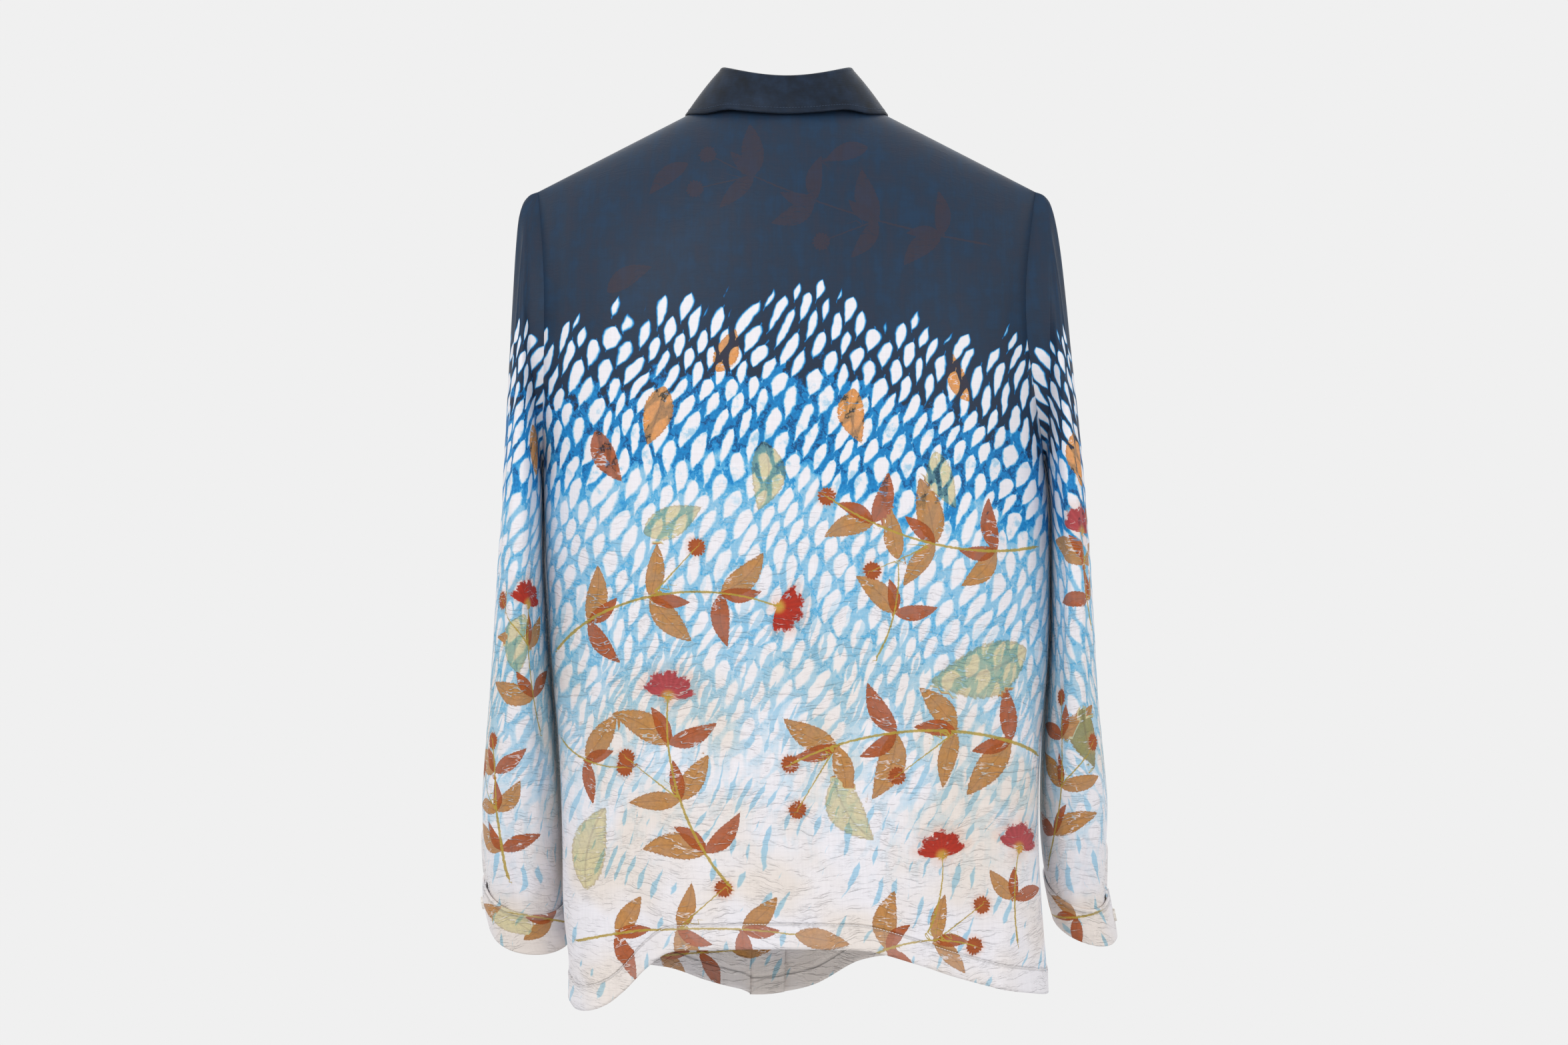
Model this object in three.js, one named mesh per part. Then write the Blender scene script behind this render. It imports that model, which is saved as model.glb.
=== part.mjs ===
// A long-sleeved button shirt, filled out as it is when worn, with nobody in it.
// Millimetres. +Z is up, the back faces -Y and the wearer's right is +X.
// The origin is the middle of the neck, level with the neck ends of the shoulder seams.
import * as THREE from 'three';

// ---------------------------------------------------------------- sizes
const CLOTH = 1.6;
const FOLDED_CLOTH = 2.2;
const COLLAR_CLOTH = 1.8;
const SEAM_GAP = 0.3;

const NECK = { half: 62, back: 54, front: 58 };
const SHOULDER = { x: 214.5, z: -78 };
const UNDERARM_Z = -310;
const ROUNDNESS = 2.5;
// How the body rounds from the shoulder line out to its full depth under the arm.
const SHOULDER_CURVE = {
  back: { flat: 2.6, rise: 0.55 },
  front: { flat: 2, rise: 0.8 },
};
const ARMHOLE_DEPTH = 0.45;

// The closing edges lap by twice this half width, on a line that drifts left as it falls.
const CLOSING = { half: 15, driftPerMm: 0.024, step: 1, shares: [0.27, 0.55, 0.78, 0.94] };
// The right front is lifted over the left one and comes back down past the lap.
const LAP_LIFT = FOLDED_CLOTH + 0.5;
const LAP_FADE = { from: 17, to: 45 };

// Steps are counted from the middle of the back to one end. The fall stops short of the
// middle of the front by an angle, and its points spread apart by another.
const STAND = { rise: 24.5, lean: 8, steps: 20, rows: 3 };
const FALL = { endAngle: 0.13, spread: 0.62, bow: 1.5, rows: 5, steps: 18 };

// A cuff's ends lap at its outer edge. The button sits in the middle of the lap.
const CUFF = { start: 0.16, lap: 0.32, lapLift: 2.4, swell: 1.2, steps: 30 };
const BUTTON = { radius: 5.75, thickness: 2.4, rim: 1.1, dish: 0.7, round: 0.6, sides: 12 };
const FRONT_BUTTONS = { count: 7, firstZ: -118, pitch: 92 };

// Folds fade out where the body is shallower than this.
const FOLD_DEPTH = 60;
// The first sleeve rings keep part of the armhole's shape, and less with every ring.
const SLEEVE_HEAD = { rings: 4, outShare: 0.9, downShare: 0.5 };

const ROWS_ABOVE = 14;
const ROWS_BELOW = 14;
const RING_POINTS = 2 * ROWS_ABOVE;

// The body's level sections: side seams, or armhole edges above the underarm, and depths.
const SECTIONS = [
  { z: -78, left: -214.5, right: 214.5, back: 128, front: 120 },
  { z: -120, left: -209.5, right: 208, back: 128, front: 120 },
  { z: -160, left: -206.5, right: 203.5, back: 128, front: 120 },
  { z: -205, left: -206, right: 204, back: 128, front: 121 },
  { z: -255, left: -207, right: 211, back: 128, front: 122 },
  { z: -310, left: -209, right: 221, back: 129, front: 124 },
  { z: -372, left: -208, right: 225.5, back: 130, front: 125 },
  { z: -473, left: -203, right: 225, back: 130, front: 126 },
  { z: -553, left: -196, right: 218.5, back: 129, front: 126 },
  { z: -631, left: -193, right: 216.5, back: 128, front: 125 },
  { z: -694, left: -192, right: 219.5, back: 127, front: 125 },
  { z: -745, left: -187, right: 223.5, back: 126, front: 124 },
  { z: -790, left: -188, right: 225, back: 125, front: 123 },
];

// The hem, from the left side seam to the right one.
const BACK_HEM = [
  { across: -1, z: -769 },
  { across: -0.95, z: -775 },
  { across: -0.85, z: -770 },
  { across: -0.76, z: -757 },
  { across: -0.66, z: -736 },
  { across: -0.56, z: -721 },
  { across: -0.4, z: -717.5 },
  { across: 0.12, z: -717 },
  { across: 0.27, z: -719 },
  { across: 0.42, z: -728 },
  { across: 0.6, z: -742 },
  { across: 0.78, z: -754 },
  { across: 0.92, z: -761 },
  { across: 1, z: -766 },
];
const FRONT_HEM = [
  { across: -1, z: -762 },
  { across: -0.8, z: -756 },
  { across: -0.62, z: -758 },
  { across: -0.45, z: -772 },
  { across: -0.2, z: -784 },
  { across: -0.03, z: -785 },
  { across: 0.1, z: -777 },
  { across: 0.24, z: -755 },
  { across: 0.45, z: -751 },
  { across: 0.75, z: -755 },
  { across: 1, z: -762 },
];

// The largest soft folds of the body: place, half width, half length, depth outwards, lean.
const BACK_FOLDS = [
  { x: -168, z: -756, width: 17, length: 75, depth: 9, lean: -0.1 },
  { x: -128, z: -740, width: 18, length: 90, depth: -7, lean: 0.1 },
  { x: -70, z: -700, width: 30, length: 120, depth: 4, lean: 0.15 },
  { x: 96, z: -690, width: 34, length: 150, depth: 5, lean: -0.12 },
  { x: 158, z: -660, width: 24, length: 170, depth: -4, lean: -0.05 },
  { x: -178, z: -420, width: 16, length: 150, depth: -4, lean: 0 },
  { x: 186, z: -400, width: 16, length: 160, depth: -4, lean: 0.03 },
];
const FRONT_FOLDS = [
  { x: -112, z: -770, width: 16, length: 110, depth: -9, lean: 0.06 },
  { x: -82, z: -770, width: 17, length: 120, depth: 5, lean: 0.05 },
  { x: 52, z: -750, width: 20, length: 110, depth: -8, lean: -0.08 },
  { x: 92, z: -740, width: 24, length: 130, depth: 5, lean: -0.05 },
  { x: -150, z: -330, width: 20, length: 120, depth: -5, lean: 0.2 },
  { x: 158, z: -330, width: 20, length: 120, depth: -5, lean: -0.2 },
];

// Sleeve sections, each from its outer edge to its inner one: half depths to the back and
// front of the middle, place of the middle along Y, fall of the back edge, and squareness.
const LEFT_SLEEVE = [
  { outX: 223, outZ: -85, inX: 210.4, inZ: -311, mid: 0, back: 50, front: 45, fall: 0, square: 2 },
  { outX: 229, outZ: -98, inX: 210.6, inZ: -312, mid: 0, back: 54, front: 50, fall: 0, square: 2 },
  { outX: 231.5, outZ: -125, inX: 210.8, inZ: -314, mid: 0, back: 59, front: 56, fall: 0, square: 2.1 },
  { outX: 234, outZ: -165, inX: 211, inZ: -317, mid: 0, back: 65, front: 62, fall: 0, square: 2.2 },
  { outX: 236.5, outZ: -210, inX: 211, inZ: -321, mid: 0, back: 71, front: 69, fall: 0, square: 2.4 },
  { outX: 239, outZ: -262, inX: 210.5, inZ: -328, mid: 0, back: 76, front: 75, fall: 0, square: 2.6 },
  { outX: 241.5, outZ: -312, inX: 210, inZ: -342, mid: 0, back: 80, front: 80, fall: 0.01, square: 2.7 },
  { outX: 244, outZ: -358, inX: 210, inZ: -366, mid: 0, back: 83, front: 83, fall: 0.03, square: 2.7 },
  { outX: 247.5, outZ: -405, inX: 209.5, inZ: -405, mid: 1, back: 83, front: 83, fall: 0.06, square: 2.6 },
  { outX: 250.5, outZ: -450, inX: 207, inZ: -450, mid: 4, back: 80, front: 79, fall: 0.1, square: 2.5 },
  { outX: 254.5, outZ: -497, inX: 203.5, inZ: -497, mid: 10, back: 74, front: 73, fall: 0.16, square: 2.4 },
  { outX: 259, outZ: -545, inX: 199.5, inZ: -545, mid: 18, back: 68, front: 66, fall: 0.22, square: 2.3 },
  { outX: 263.5, outZ: -594, inX: 197, inZ: -594, mid: 28, back: 62, front: 60, fall: 0.29, square: 2.3 },
  { outX: 264, outZ: -632, inX: 195.5, inZ: -636, mid: 38, back: 56, front: 54, fall: 0.35, square: 2.2 },
  { outX: 263, outZ: -658, inX: 195, inZ: -668, mid: 45, back: 50, front: 48, fall: 0.4, square: 2.2 },
  { outX: 261, outZ: -675, inX: 195, inZ: -689, mid: 50, back: 43, front: 42, fall: 0.42, square: 2.1 },
];
const LEFT_CUFF = [
  { outX: 261.5, outZ: -675.8, inX: 194.6, inZ: -689.8, mid: 50.2, back: 42, front: 41, fall: 0.42, square: 2.1 },
  { outX: 262, outZ: -690, inX: 193.6, inZ: -702, mid: 54, back: 42, front: 42, fall: 0.42, square: 2.1 },
  { outX: 260, outZ: -703, inX: 191.8, inZ: -713, mid: 57, back: 42, front: 42, fall: 0.42, square: 2.1 },
  { outX: 257, outZ: -716, inX: 189.5, inZ: -723, mid: 60, back: 41, front: 41, fall: 0.42, square: 2.1 },
];
const RIGHT_SLEEVE = [
  { outX: 223, outZ: -85, inX: 222.6, inZ: -311, mid: 0, back: 50, front: 45, fall: 0, square: 2 },
  { outX: 229, outZ: -98, inX: 222.9, inZ: -312, mid: 0, back: 54, front: 50, fall: 0, square: 2 },
  { outX: 234, outZ: -128, inX: 223.3, inZ: -314, mid: 0, back: 59, front: 56, fall: 0, square: 2.1 },
  { outX: 239, outZ: -172, inX: 223.8, inZ: -317, mid: 0, back: 65, front: 62, fall: 0, square: 2.2 },
  { outX: 243.5, outZ: -218, inX: 224.5, inZ: -321, mid: 0, back: 71, front: 69, fall: 0, square: 2.4 },
  { outX: 248.5, outZ: -266, inX: 225.4, inZ: -328, mid: 0, back: 76, front: 75, fall: 0, square: 2.6 },
  { outX: 253, outZ: -314, inX: 226.8, inZ: -342, mid: 0, back: 80, front: 80, fall: 0.01, square: 2.7 },
  { outX: 257, outZ: -360, inX: 227.6, inZ: -366, mid: 0, back: 83, front: 83, fall: 0.03, square: 2.7 },
  { outX: 260.5, outZ: -410, inX: 227.8, inZ: -410, mid: 1, back: 83, front: 83, fall: 0.06, square: 2.6 },
  { outX: 263.5, outZ: -458, inX: 227.6, inZ: -458, mid: 4, back: 80, front: 79, fall: 0.1, square: 2.5 },
  { outX: 267, outZ: -505, inX: 225, inZ: -505, mid: 10, back: 74, front: 73, fall: 0.16, square: 2.4 },
  { outX: 272, outZ: -548, inX: 222.5, inZ: -548, mid: 18, back: 68, front: 66, fall: 0.22, square: 2.3 },
  { outX: 277.5, outZ: -596, inX: 221.5, inZ: -592, mid: 28, back: 62, front: 60, fall: 0.29, square: 2.3 },
  { outX: 278, outZ: -636, inX: 222, inZ: -628, mid: 38, back: 56, front: 54, fall: 0.35, square: 2.2 },
  { outX: 277.5, outZ: -664, inX: 224, inZ: -652, mid: 45, back: 50, front: 48, fall: 0.4, square: 2.2 },
  { outX: 277.5, outZ: -686, inX: 227, inZ: -670, mid: 50, back: 44, front: 43, fall: 0.38, square: 2.1 },
];
const RIGHT_CUFF = [
  { outX: 278, outZ: -687.6, inX: 227.2, inZ: -671.6, mid: 50.4, back: 43, front: 42, fall: 0.36, square: 2.1 },
  { outX: 281, outZ: -701, inX: 229.5, inZ: -684, mid: 54, back: 43, front: 43, fall: 0.32, square: 2.1 },
  { outX: 284, outZ: -714, inX: 232.5, inZ: -697, mid: 57, back: 43, front: 43, fall: 0.28, square: 2.1 },
  { outX: 286, outZ: -726, inX: 236, inZ: -709, mid: 60, back: 42, front: 42, fall: 0.24, square: 2.1 },
];
const SLEEVES = {
  left: { side: -1, sections: LEFT_SLEEVE, cuff: LEFT_CUFF },
  right: { side: 1, sections: RIGHT_SLEEVE, cuff: RIGHT_CUFF },
};

// Long folds down the sleeves: angle from the outer edge round the back, length run, width, depth.
const SLEEVE_FOLDS = [
  { angle: 0.62, from: 1, to: 9, width: 0.2, depth: -3.5 },
  { angle: 1.15, from: 2, to: 12, width: 0.22, depth: -3 },
  { angle: 2.3, from: 5, to: 13, width: 0.25, depth: -3 },
  { angle: -0.9, from: 1, to: 10, width: 0.22, depth: -3.5 },
  { angle: -1.7, from: 4, to: 13, width: 0.25, depth: -3 },
  { angle: 1.45, from: 12, to: 15.4, width: 0.16, depth: -4.5 },
  { angle: -1.3, from: 12, to: 15.4, width: 0.16, depth: -4.5 },
];

// The collar's fall: how far its edge drops and stands out, by the angle round the neck from the back.
const FALL_EDGE = [
  { angle: 0, drop: 33, out: 17 },
  { angle: 0.8, drop: 32.5, out: 22 },
  { angle: 1.45, drop: 27.8, out: 28 },
  { angle: 1.75, drop: 27.5, out: 30.5 },
  { angle: 2.3, drop: 33, out: 35 },
  { angle: 2.8, drop: 46, out: 39 },
  { angle: Math.PI, drop: 55, out: 41 },
];
// The roll of the fall over the stand's top edge: outwards and upwards from that edge.
const ROLL = [
  { out: -1.8, up: 0.9 },
  { out: -1.5, up: 2.6 },
  { out: 0.4, up: 3.9 },
  { out: 2.6, up: 3.2 },
  { out: 4.2, up: 0.9 },
];

const SILK = { navy: '#2f3c52', white: '#e9e5ea', shell: '#f4f1ea' };

// ---------------------------------------------------------------- helpers
function clamp(value, low, high) {
  return Math.min(high, Math.max(low, value));
}

function smooth(value) {
  const t = clamp(value, 0, 1);
  return t * t * (3 - 2 * t);
}

// The value of a column at a place in a table, with a smooth run between rows.
function readTable(table, key, at, column) {
  const rising = table[table.length - 1][key] > table[0][key];
  const rows = rising ? table : [...table].reverse();
  const place = clamp(at, rows[0][key], rows[rows.length - 1][key]);
  let i = 0;
  while (i < rows.length - 2 && place > rows[i + 1][key]) {
    i += 1;
  }
  const span = rows[i + 1][key] - rows[i][key];
  const t = (place - rows[i][key]) / span;
  const slope = (k) => {
    const before = rows[Math.max(0, k - 1)];
    const after = rows[Math.min(rows.length - 1, k + 1)];
    return (after[column] - before[column]) / (after[key] - before[key]);
  };
  const a = rows[i][column];
  const b = rows[i + 1][column];
  const t2 = t * t;
  const t3 = t2 * t;
  return (
    (2 * t3 - 3 * t2 + 1) * a +
    (t3 - 2 * t2 + t) * span * slope(i) +
    (3 * t2 - 2 * t3) * b +
    (t3 - t2) * span * slope(i + 1)
  );
}

function lift(across, power) {
  return Math.pow(Math.max(0, 1 - Math.pow(Math.abs(across), power)), 1 / power);
}

// The share of the full depth reached at a share of the way down from the shoulder line.
function shoulderDepth(face, down) {
  const { flat, rise } = SHOULDER_CURVE[face];
  return Math.pow(1 - Math.pow(1 - down, flat), rise);
}

// The share of the way down at which a share of the full depth is reached.
function shoulderDown(face, share) {
  const { flat, rise } = SHOULDER_CURVE[face];
  return 1 - Math.pow(1 - Math.pow(share, 1 / rise), 1 / flat);
}

// A wall of cloth under a grid of outer points. Each row has the same number of points.
// Faces look along the cross product of "across a row" and "from row to row".
function clothWall(grid, thicknessAt, options = {}) {
  const rows = grid.length;
  const cols = grid[0].length;
  const closed = options.closed === true;
  const last = cols - 1;
  const at = (r, c) => grid[clamp(r, 0, rows - 1)][closed ? (c + cols) % cols : clamp(c, 0, last)];
  const positions = [];
  const inner = [];
  for (let r = 0; r < rows; r += 1) {
    for (let c = 0; c < cols; c += 1) {
      const across = at(r, c + 1).clone().sub(at(r, c - 1));
      const along = at(r + 1, c).clone().sub(at(r - 1, c));
      const normal = across.cross(along).normalize();
      if (options.square) {
        options.square(normal, r, c);
      }
      const outerPoint = grid[r][c];
      const innerPoint = outerPoint.clone().addScaledVector(normal, -thicknessAt(r, c));
      positions.push(outerPoint.x, outerPoint.y, outerPoint.z);
      inner.push(innerPoint.x, innerPoint.y, innerPoint.z);
    }
  }
  const total = rows * cols;
  const index = [];
  const quad = (a, b, c, d) => index.push(a, b, c, a, c, d);
  const spans = closed ? cols : last;
  for (let r = 0; r < rows - 1; r += 1) {
    for (let c = 0; c < spans; c += 1) {
      const next = (c + 1) % cols;
      const a = r * cols + c;
      const b = r * cols + next;
      const d = (r + 1) * cols + c;
      const e = (r + 1) * cols + next;
      quad(a, b, e, d);
      quad(total + a, total + d, total + e, total + b);
    }
  }
  for (let c = 0; c < spans; c += 1) {
    const next = (c + 1) % cols;
    const top = (rows - 1) * cols;
    quad(c, total + c, total + next, next);
    quad(top + c, top + next, total + top + next, total + top + c);
  }
  if (!closed) {
    for (let r = 0; r < rows - 1; r += 1) {
      const a = r * cols;
      const b = (r + 1) * cols;
      quad(a, b, total + b, total + a);
      quad(a + last, total + a + last, total + b + last, b + last);
    }
  }
  const geometry = new THREE.BufferGeometry();
  geometry.setAttribute('position', new THREE.Float32BufferAttribute([...positions, ...inner], 3));
  geometry.setIndex(index);
  geometry.computeVertexNormals();
  return geometry;
}

function silk(colour) {
  return new THREE.MeshStandardMaterial({ color: colour, roughness: 0.42, metalness: 0 });
}

function piece(name, geometry, material) {
  const mesh = new THREE.Mesh(geometry, material);
  mesh.name = name;
  return mesh;
}

// ---------------------------------------------------------------- the body's surface
// Height of the shoulder line above the neck or along the seam, at a place across.
function ridgeHeight(x) {
  const reach = Math.abs(x);
  const slope = -SHOULDER.z / (SHOULDER.x - NECK.half);
  if (reach >= NECK.half) {
    return -slope * (reach - NECK.half);
  }
  return 0.5 * slope * NECK.half * (1 - (reach / NECK.half) ** 2);
}

function section(z) {
  const left = readTable(SECTIONS, 'z', z, 'left');
  const right = readTable(SECTIONS, 'z', z, 'right');
  return { middle: (left + right) / 2, half: (right - left) / 2 };
}

// How much of the full half width the cloth spans where the armhole cuts it.
function armholeCut(z) {
  const run = (SHOULDER.z - z) / (SHOULDER.z - UNDERARM_Z);
  if (run <= 0 || run >= 1) {
    return 1;
  }
  const edge = ARMHOLE_DEPTH * 2 * Math.sqrt(run * (1 - run));
  return lift(edge, ROUNDNESS);
}

function foldsAt(folds, x, z) {
  let sum = 0;
  for (const fold of folds) {
    const along = (z - fold.z) / fold.length;
    const across = (x - fold.x - fold.lean * (z - fold.z)) / fold.width;
    sum += fold.depth * Math.exp(-along * along - across * across);
  }
  return sum;
}

// How far the body's outer face stands from the plane of the side seams, at a place.
function bodyDepth(face, x, z) {
  const { middle, half } = section(z);
  const across = (armholeCut(z) * (x - middle)) / half;
  const full = readTable(SECTIONS, 'z', z, face) * lift(across, ROUNDNESS);
  if (z <= UNDERARM_Z) {
    return full;
  }
  const ridge = ridgeHeight(x);
  const down = clamp((ridge - z) / (ridge - UNDERARM_Z), 0, 1);
  return full * shoulderDepth(face, down);
}

function bodyPoint(face, x, z) {
  const sign = face === 'back' ? -1 : 1;
  const folds = face === 'back' ? BACK_FOLDS : FRONT_FOLDS;
  const depth = bodyDepth(face, x, z);
  const fold = foldsAt(folds, x, z) * smooth(depth / FOLD_DEPTH);
  return new THREE.Vector3(x, sign * (SEAM_GAP / 2 + depth + fold), z);
}

// The neck seam: an ellipse seen from above, laid on the body. Angle 0 is the middle of the back.
function neckPoint(angle) {
  const x = NECK.half * Math.sin(angle);
  const face = Math.cos(angle) >= 0 ? 'back' : 'front';
  const depth = NECK[face] * Math.abs(Math.cos(angle));
  const full = SECTIONS[0][face] * lift(x / SHOULDER.x, ROUNDNESS);
  const ridge = ridgeHeight(x);
  const down = shoulderDown(face, depth / full);
  const sign = face === 'back' ? -1 : 1;
  const z = ridge - down * (ridge - UNDERARM_Z);
  return new THREE.Vector3(x, sign * (depth + SEAM_GAP / 2), z);
}

function neckHeight(face, x) {
  const angle = Math.asin(clamp(x / NECK.half, -1, 1));
  return neckPoint(face === 'back' ? angle : Math.PI - angle).z;
}

function topHeight(face, x) {
  return Math.abs(x) < NECK.half ? neckHeight(face, x) : ridgeHeight(x);
}

function rowShare(row) {
  return (1 - Math.cos((Math.PI * row) / ROWS_ABOVE)) / 2;
}

// The side edge's x and height at a row: the armhole above the underarm.
function edgeAt(side, row) {
  const z = SHOULDER.z + (UNDERARM_Z - SHOULDER.z) * rowShare(row);
  const { middle, half } = section(z);
  return { middle, half, x: middle + side * half, z };
}

// ---------------------------------------------------------------- panels
const NECK_SHARE = NECK.half / SHOULDER.x;
const SIDE_COLUMNS = [0.38, 0.48, 0.58, 0.68, 0.77, 0.85, 0.915, 0.965, 0.99, 1];
const NECK_COLUMNS = 12;

// A column's place across: a share of the half width, or a distance from the closing line
// in millimetres, or where it has both, a mix of the two.
function placeAt(column, middle, half, z) {
  const fromMiddle = middle + column.share * half;
  const fromClosing = closingLine(z) + column.offset;
  return fromClosing + (fromMiddle - fromClosing) * column.mix;
}

// A panel's points. Row 0 is the top edge and the last row is the hem.
function panelGrid(face, hem, columns) {
  const grid = [];
  for (let row = 0; row <= ROWS_ABOVE + ROWS_BELOW; row += 1) {
    const line = [];
    for (const column of columns) {
      const topX = placeAt(column, 0, SHOULDER.x, SHOULDER.z);
      const topZ = topHeight(face, topX);
      let x;
      let z;
      if (row <= ROWS_ABOVE) {
        const edge = edgeAt(1, row);
        z = topZ + (UNDERARM_Z - topZ) * rowShare(row);
        x = row === 0 ? topX : placeAt(column, edge.middle, edge.half, z);
      } else {
        const run = (row - ROWS_ABOVE) / ROWS_BELOW;
        const base = section(UNDERARM_Z);
        const across = (placeAt(column, base.middle, base.half, UNDERARM_Z) - base.middle) / base.half;
        z = UNDERARM_Z + (readTable(hem, 'across', across, 'z') - UNDERARM_Z) * run;
        const here = section(z);
        x = placeAt(column, here.middle, here.half, z);
      }
      const point = bodyPoint(face, x, z);
      if (row === 0 && Math.abs(topX) < NECK.half) {
        const angle = Math.asin(topX / NECK.half);
        point.copy(neckPoint(face === 'back' ? angle : Math.PI - angle));
      }
      line.push(point);
    }
    grid.push(line);
  }
  return grid;
}

// The closing line at the middle of the front, which drifts to the left as it falls.
function closingLine(z) {
  return CLOSING.driftPerMm * Math.min(0, z - SHOULDER.z);
}

// Keeps the wall's end faces upright along the side and shoulder seams.
function squareSeams(grid, sideColumns) {
  return (normal, r, c) => {
    const onSide = r >= ROWS_ABOVE && sideColumns.includes(c);
    const onShoulder = r === 0 && Math.abs(grid[r][c].x) >= NECK.half - SEAM_GAP;
    if (onSide || onShoulder) {
      normal.y = 0;
      normal.normalize();
    }
  };
}

function shareColumns(side) {
  return SIDE_COLUMNS.map((share) => ({ share: side * share, offset: 0, mix: 1 }));
}

function makeBack() {
  const neck = [];
  for (let i = 0; i <= NECK_COLUMNS; i += 1) {
    const angle = -Math.PI / 2 + (Math.PI * i) / NECK_COLUMNS;
    neck.push({ share: NECK_SHARE * Math.sin(angle), offset: 0, mix: 1 });
  }
  const columns = [...shareColumns(-1).reverse(), ...neck, ...shareColumns(1)];
  const grid = panelGrid('back', BACK_HEM, columns);
  const upward = [...grid].reverse();
  const square = squareSeams(grid, [0, columns.length - 1]);
  const lastRow = grid.length - 1;
  const geometry = clothWall(upward, () => CLOTH, {
    square: (normal, r, c) => square(normal, lastRow - r, c),
  });
  return piece('back', geometry, silk(SILK.navy));
}

// A front, from its side seam to its closing edge. The wearer's right laps over the left.
function makeFront(name, side) {
  const over = side > 0;
  const edge = -side * CLOSING.half;
  const share = side * NECK_SHARE;
  const folded = [edge, 0, -edge].map((offset) => ({ share, offset, mix: 0 }));
  const offset = side * (CLOSING.half + CLOSING.step);
  const single = [0, ...CLOSING.shares, 1].map((mix) => ({ share, offset, mix }));
  const columns = [...folded, ...single, ...shareColumns(side)];
  const grid = panelGrid('front', FRONT_HEM, columns);
  if (over) {
    liftLap(grid);
  }
  const lastRow = grid.length - 1;
  const rows = over ? grid : [...grid].reverse();
  const square = squareSeams(grid, [columns.length - 1]);
  const geometry = clothWall(rows, (r, c) => (c < folded.length ? FOLDED_CLOTH : CLOTH), {
    square: (normal, r, c) => square(normal, over ? r : lastRow - r, c),
  });
  return piece(name, geometry, silk(SILK.white));
}

// Outward direction of the front's face at a place.
function frontNormal(x, z) {
  const step = 1;
  const slopeX = (bodyDepth('front', x + step, z) - bodyDepth('front', x - step, z)) / (2 * step);
  const slopeZ = (bodyDepth('front', x, z + step) - bodyDepth('front', x, z - step)) / (2 * step);
  return new THREE.Vector3(-slopeX, 1, -slopeZ).normalize();
}

function lapLiftAt(x, z) {
  const past = x - closingLine(z);
  return LAP_LIFT * smooth((LAP_FADE.to - past) / (LAP_FADE.to - LAP_FADE.from));
}

function liftLap(grid) {
  for (const line of grid) {
    for (const point of line) {
      const amount = lapLiftAt(point.x, point.z);
      if (amount > 0) {
        point.addScaledVector(frontNormal(point.x, point.z), amount);
      }
    }
  }
}

// ---------------------------------------------------------------- collar
// The angle of a step round the collar. Step 0 is the middle of the back, and the steps
// meet the shoulder seams halfway to the ends of the fall.
function collarAngle(step) {
  const quarter = FALL.steps / 2;
  const past = Math.max(0, Math.abs(step) - quarter);
  const toSeam = Math.min(Math.abs(step), quarter) / quarter;
  const frontStep = (Math.PI / 2 - FALL.endAngle) / quarter;
  return Math.sign(step) * ((toSeam * Math.PI) / 2 + past * frontStep);
}

function outward(angle) {
  return new THREE.Vector3(Math.sin(angle), -Math.cos(angle), 0);
}

// The stand's lower edge. Past the middle of the front the right end lies over the left end.
function standFoot(angle, raised) {
  const point = neckPoint(angle);
  point.z += 3 * SEAM_GAP;
  if (raised > 0) {
    point.addScaledVector(frontNormal(point.x, point.z), raised);
  }
  return point;
}

// How far the collar is lifted near its right end, or near both, to clear the lap.
function lapShare(angle) {
  if (angle < Math.PI / 2) {
    return 0;
  }
  const past = NECK.half * Math.sin(Math.PI - angle);
  return smooth((LAP_FADE.to - past) / (LAP_FADE.to - LAP_FADE.from));
}

function standRaise(angle) {
  return LAP_LIFT * lapShare(angle);
}

function fallRaise(angle) {
  return (LAP_LIFT + SEAM_GAP) * lapShare(Math.abs(angle));
}

function standTop(angle, raised) {
  const foot = standFoot(angle, raised);
  foot.addScaledVector(outward(angle), -STAND.lean);
  foot.z += STAND.rise;
  return foot;
}

function makeStand() {
  const grid = [];
  const steps = 2 * STAND.steps;
  for (let r = 0; r <= STAND.rows; r += 1) {
    const line = [];
    for (let i = 0; i <= steps; i += 1) {
      const angle = collarAngle(i - STAND.steps);
      const raised = standRaise(angle);
      const foot = standFoot(angle, raised);
      const top = standTop(angle, raised);
      line.push(foot.lerp(top, r / STAND.rows));
    }
    grid.push(line);
  }
  const level = (normal, r) => {
    if (r === 0 || r === STAND.rows) {
      normal.z = 0;
      normal.normalize();
    }
  };
  return piece('collar_stand', clothWall(grid, () => COLLAR_CLOTH, { square: level }), silk(SILK.navy));
}

function makeFall() {
  const grid = [];
  const steps = 2 * FALL.steps;
  const rollRows = ROLL.length - 1;
  const last = ROLL[rollRows];
  for (let r = 0; r <= rollRows + FALL.rows; r += 1) {
    const line = [];
    const run = Math.max(0, r - rollRows) / FALL.rows;
    const reach = Math.PI - FALL.endAngle;
    const spread = 1 - (FALL.spread * run) / reach;
    for (let i = 0; i <= steps; i += 1) {
      const step = collarAngle(i - FALL.steps);
      const angle = step * spread;
      const edgeAngle = (Math.abs(step) / reach) * Math.PI;
      const point = standTop(angle, fallRaise(angle));
      const roll = ROLL[Math.min(r, rollRows)];
      const out = readTable(FALL_EDGE, 'angle', edgeAngle, 'out') - last.out;
      const drop = readTable(FALL_EDGE, 'angle', edgeAngle, 'drop') + last.up;
      const bow = Math.sin(Math.PI * run) * FALL.bow;
      point.addScaledVector(outward(angle), roll.out + out * run + bow);
      point.z += roll.up - drop * run;
      line.push(point);
    }
    grid.push(line);
  }
  const downward = grid.map((line) => [...line].reverse());
  return piece('collar_fall', clothWall(downward, () => COLLAR_CLOTH), silk(SILK.navy));
}

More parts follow.
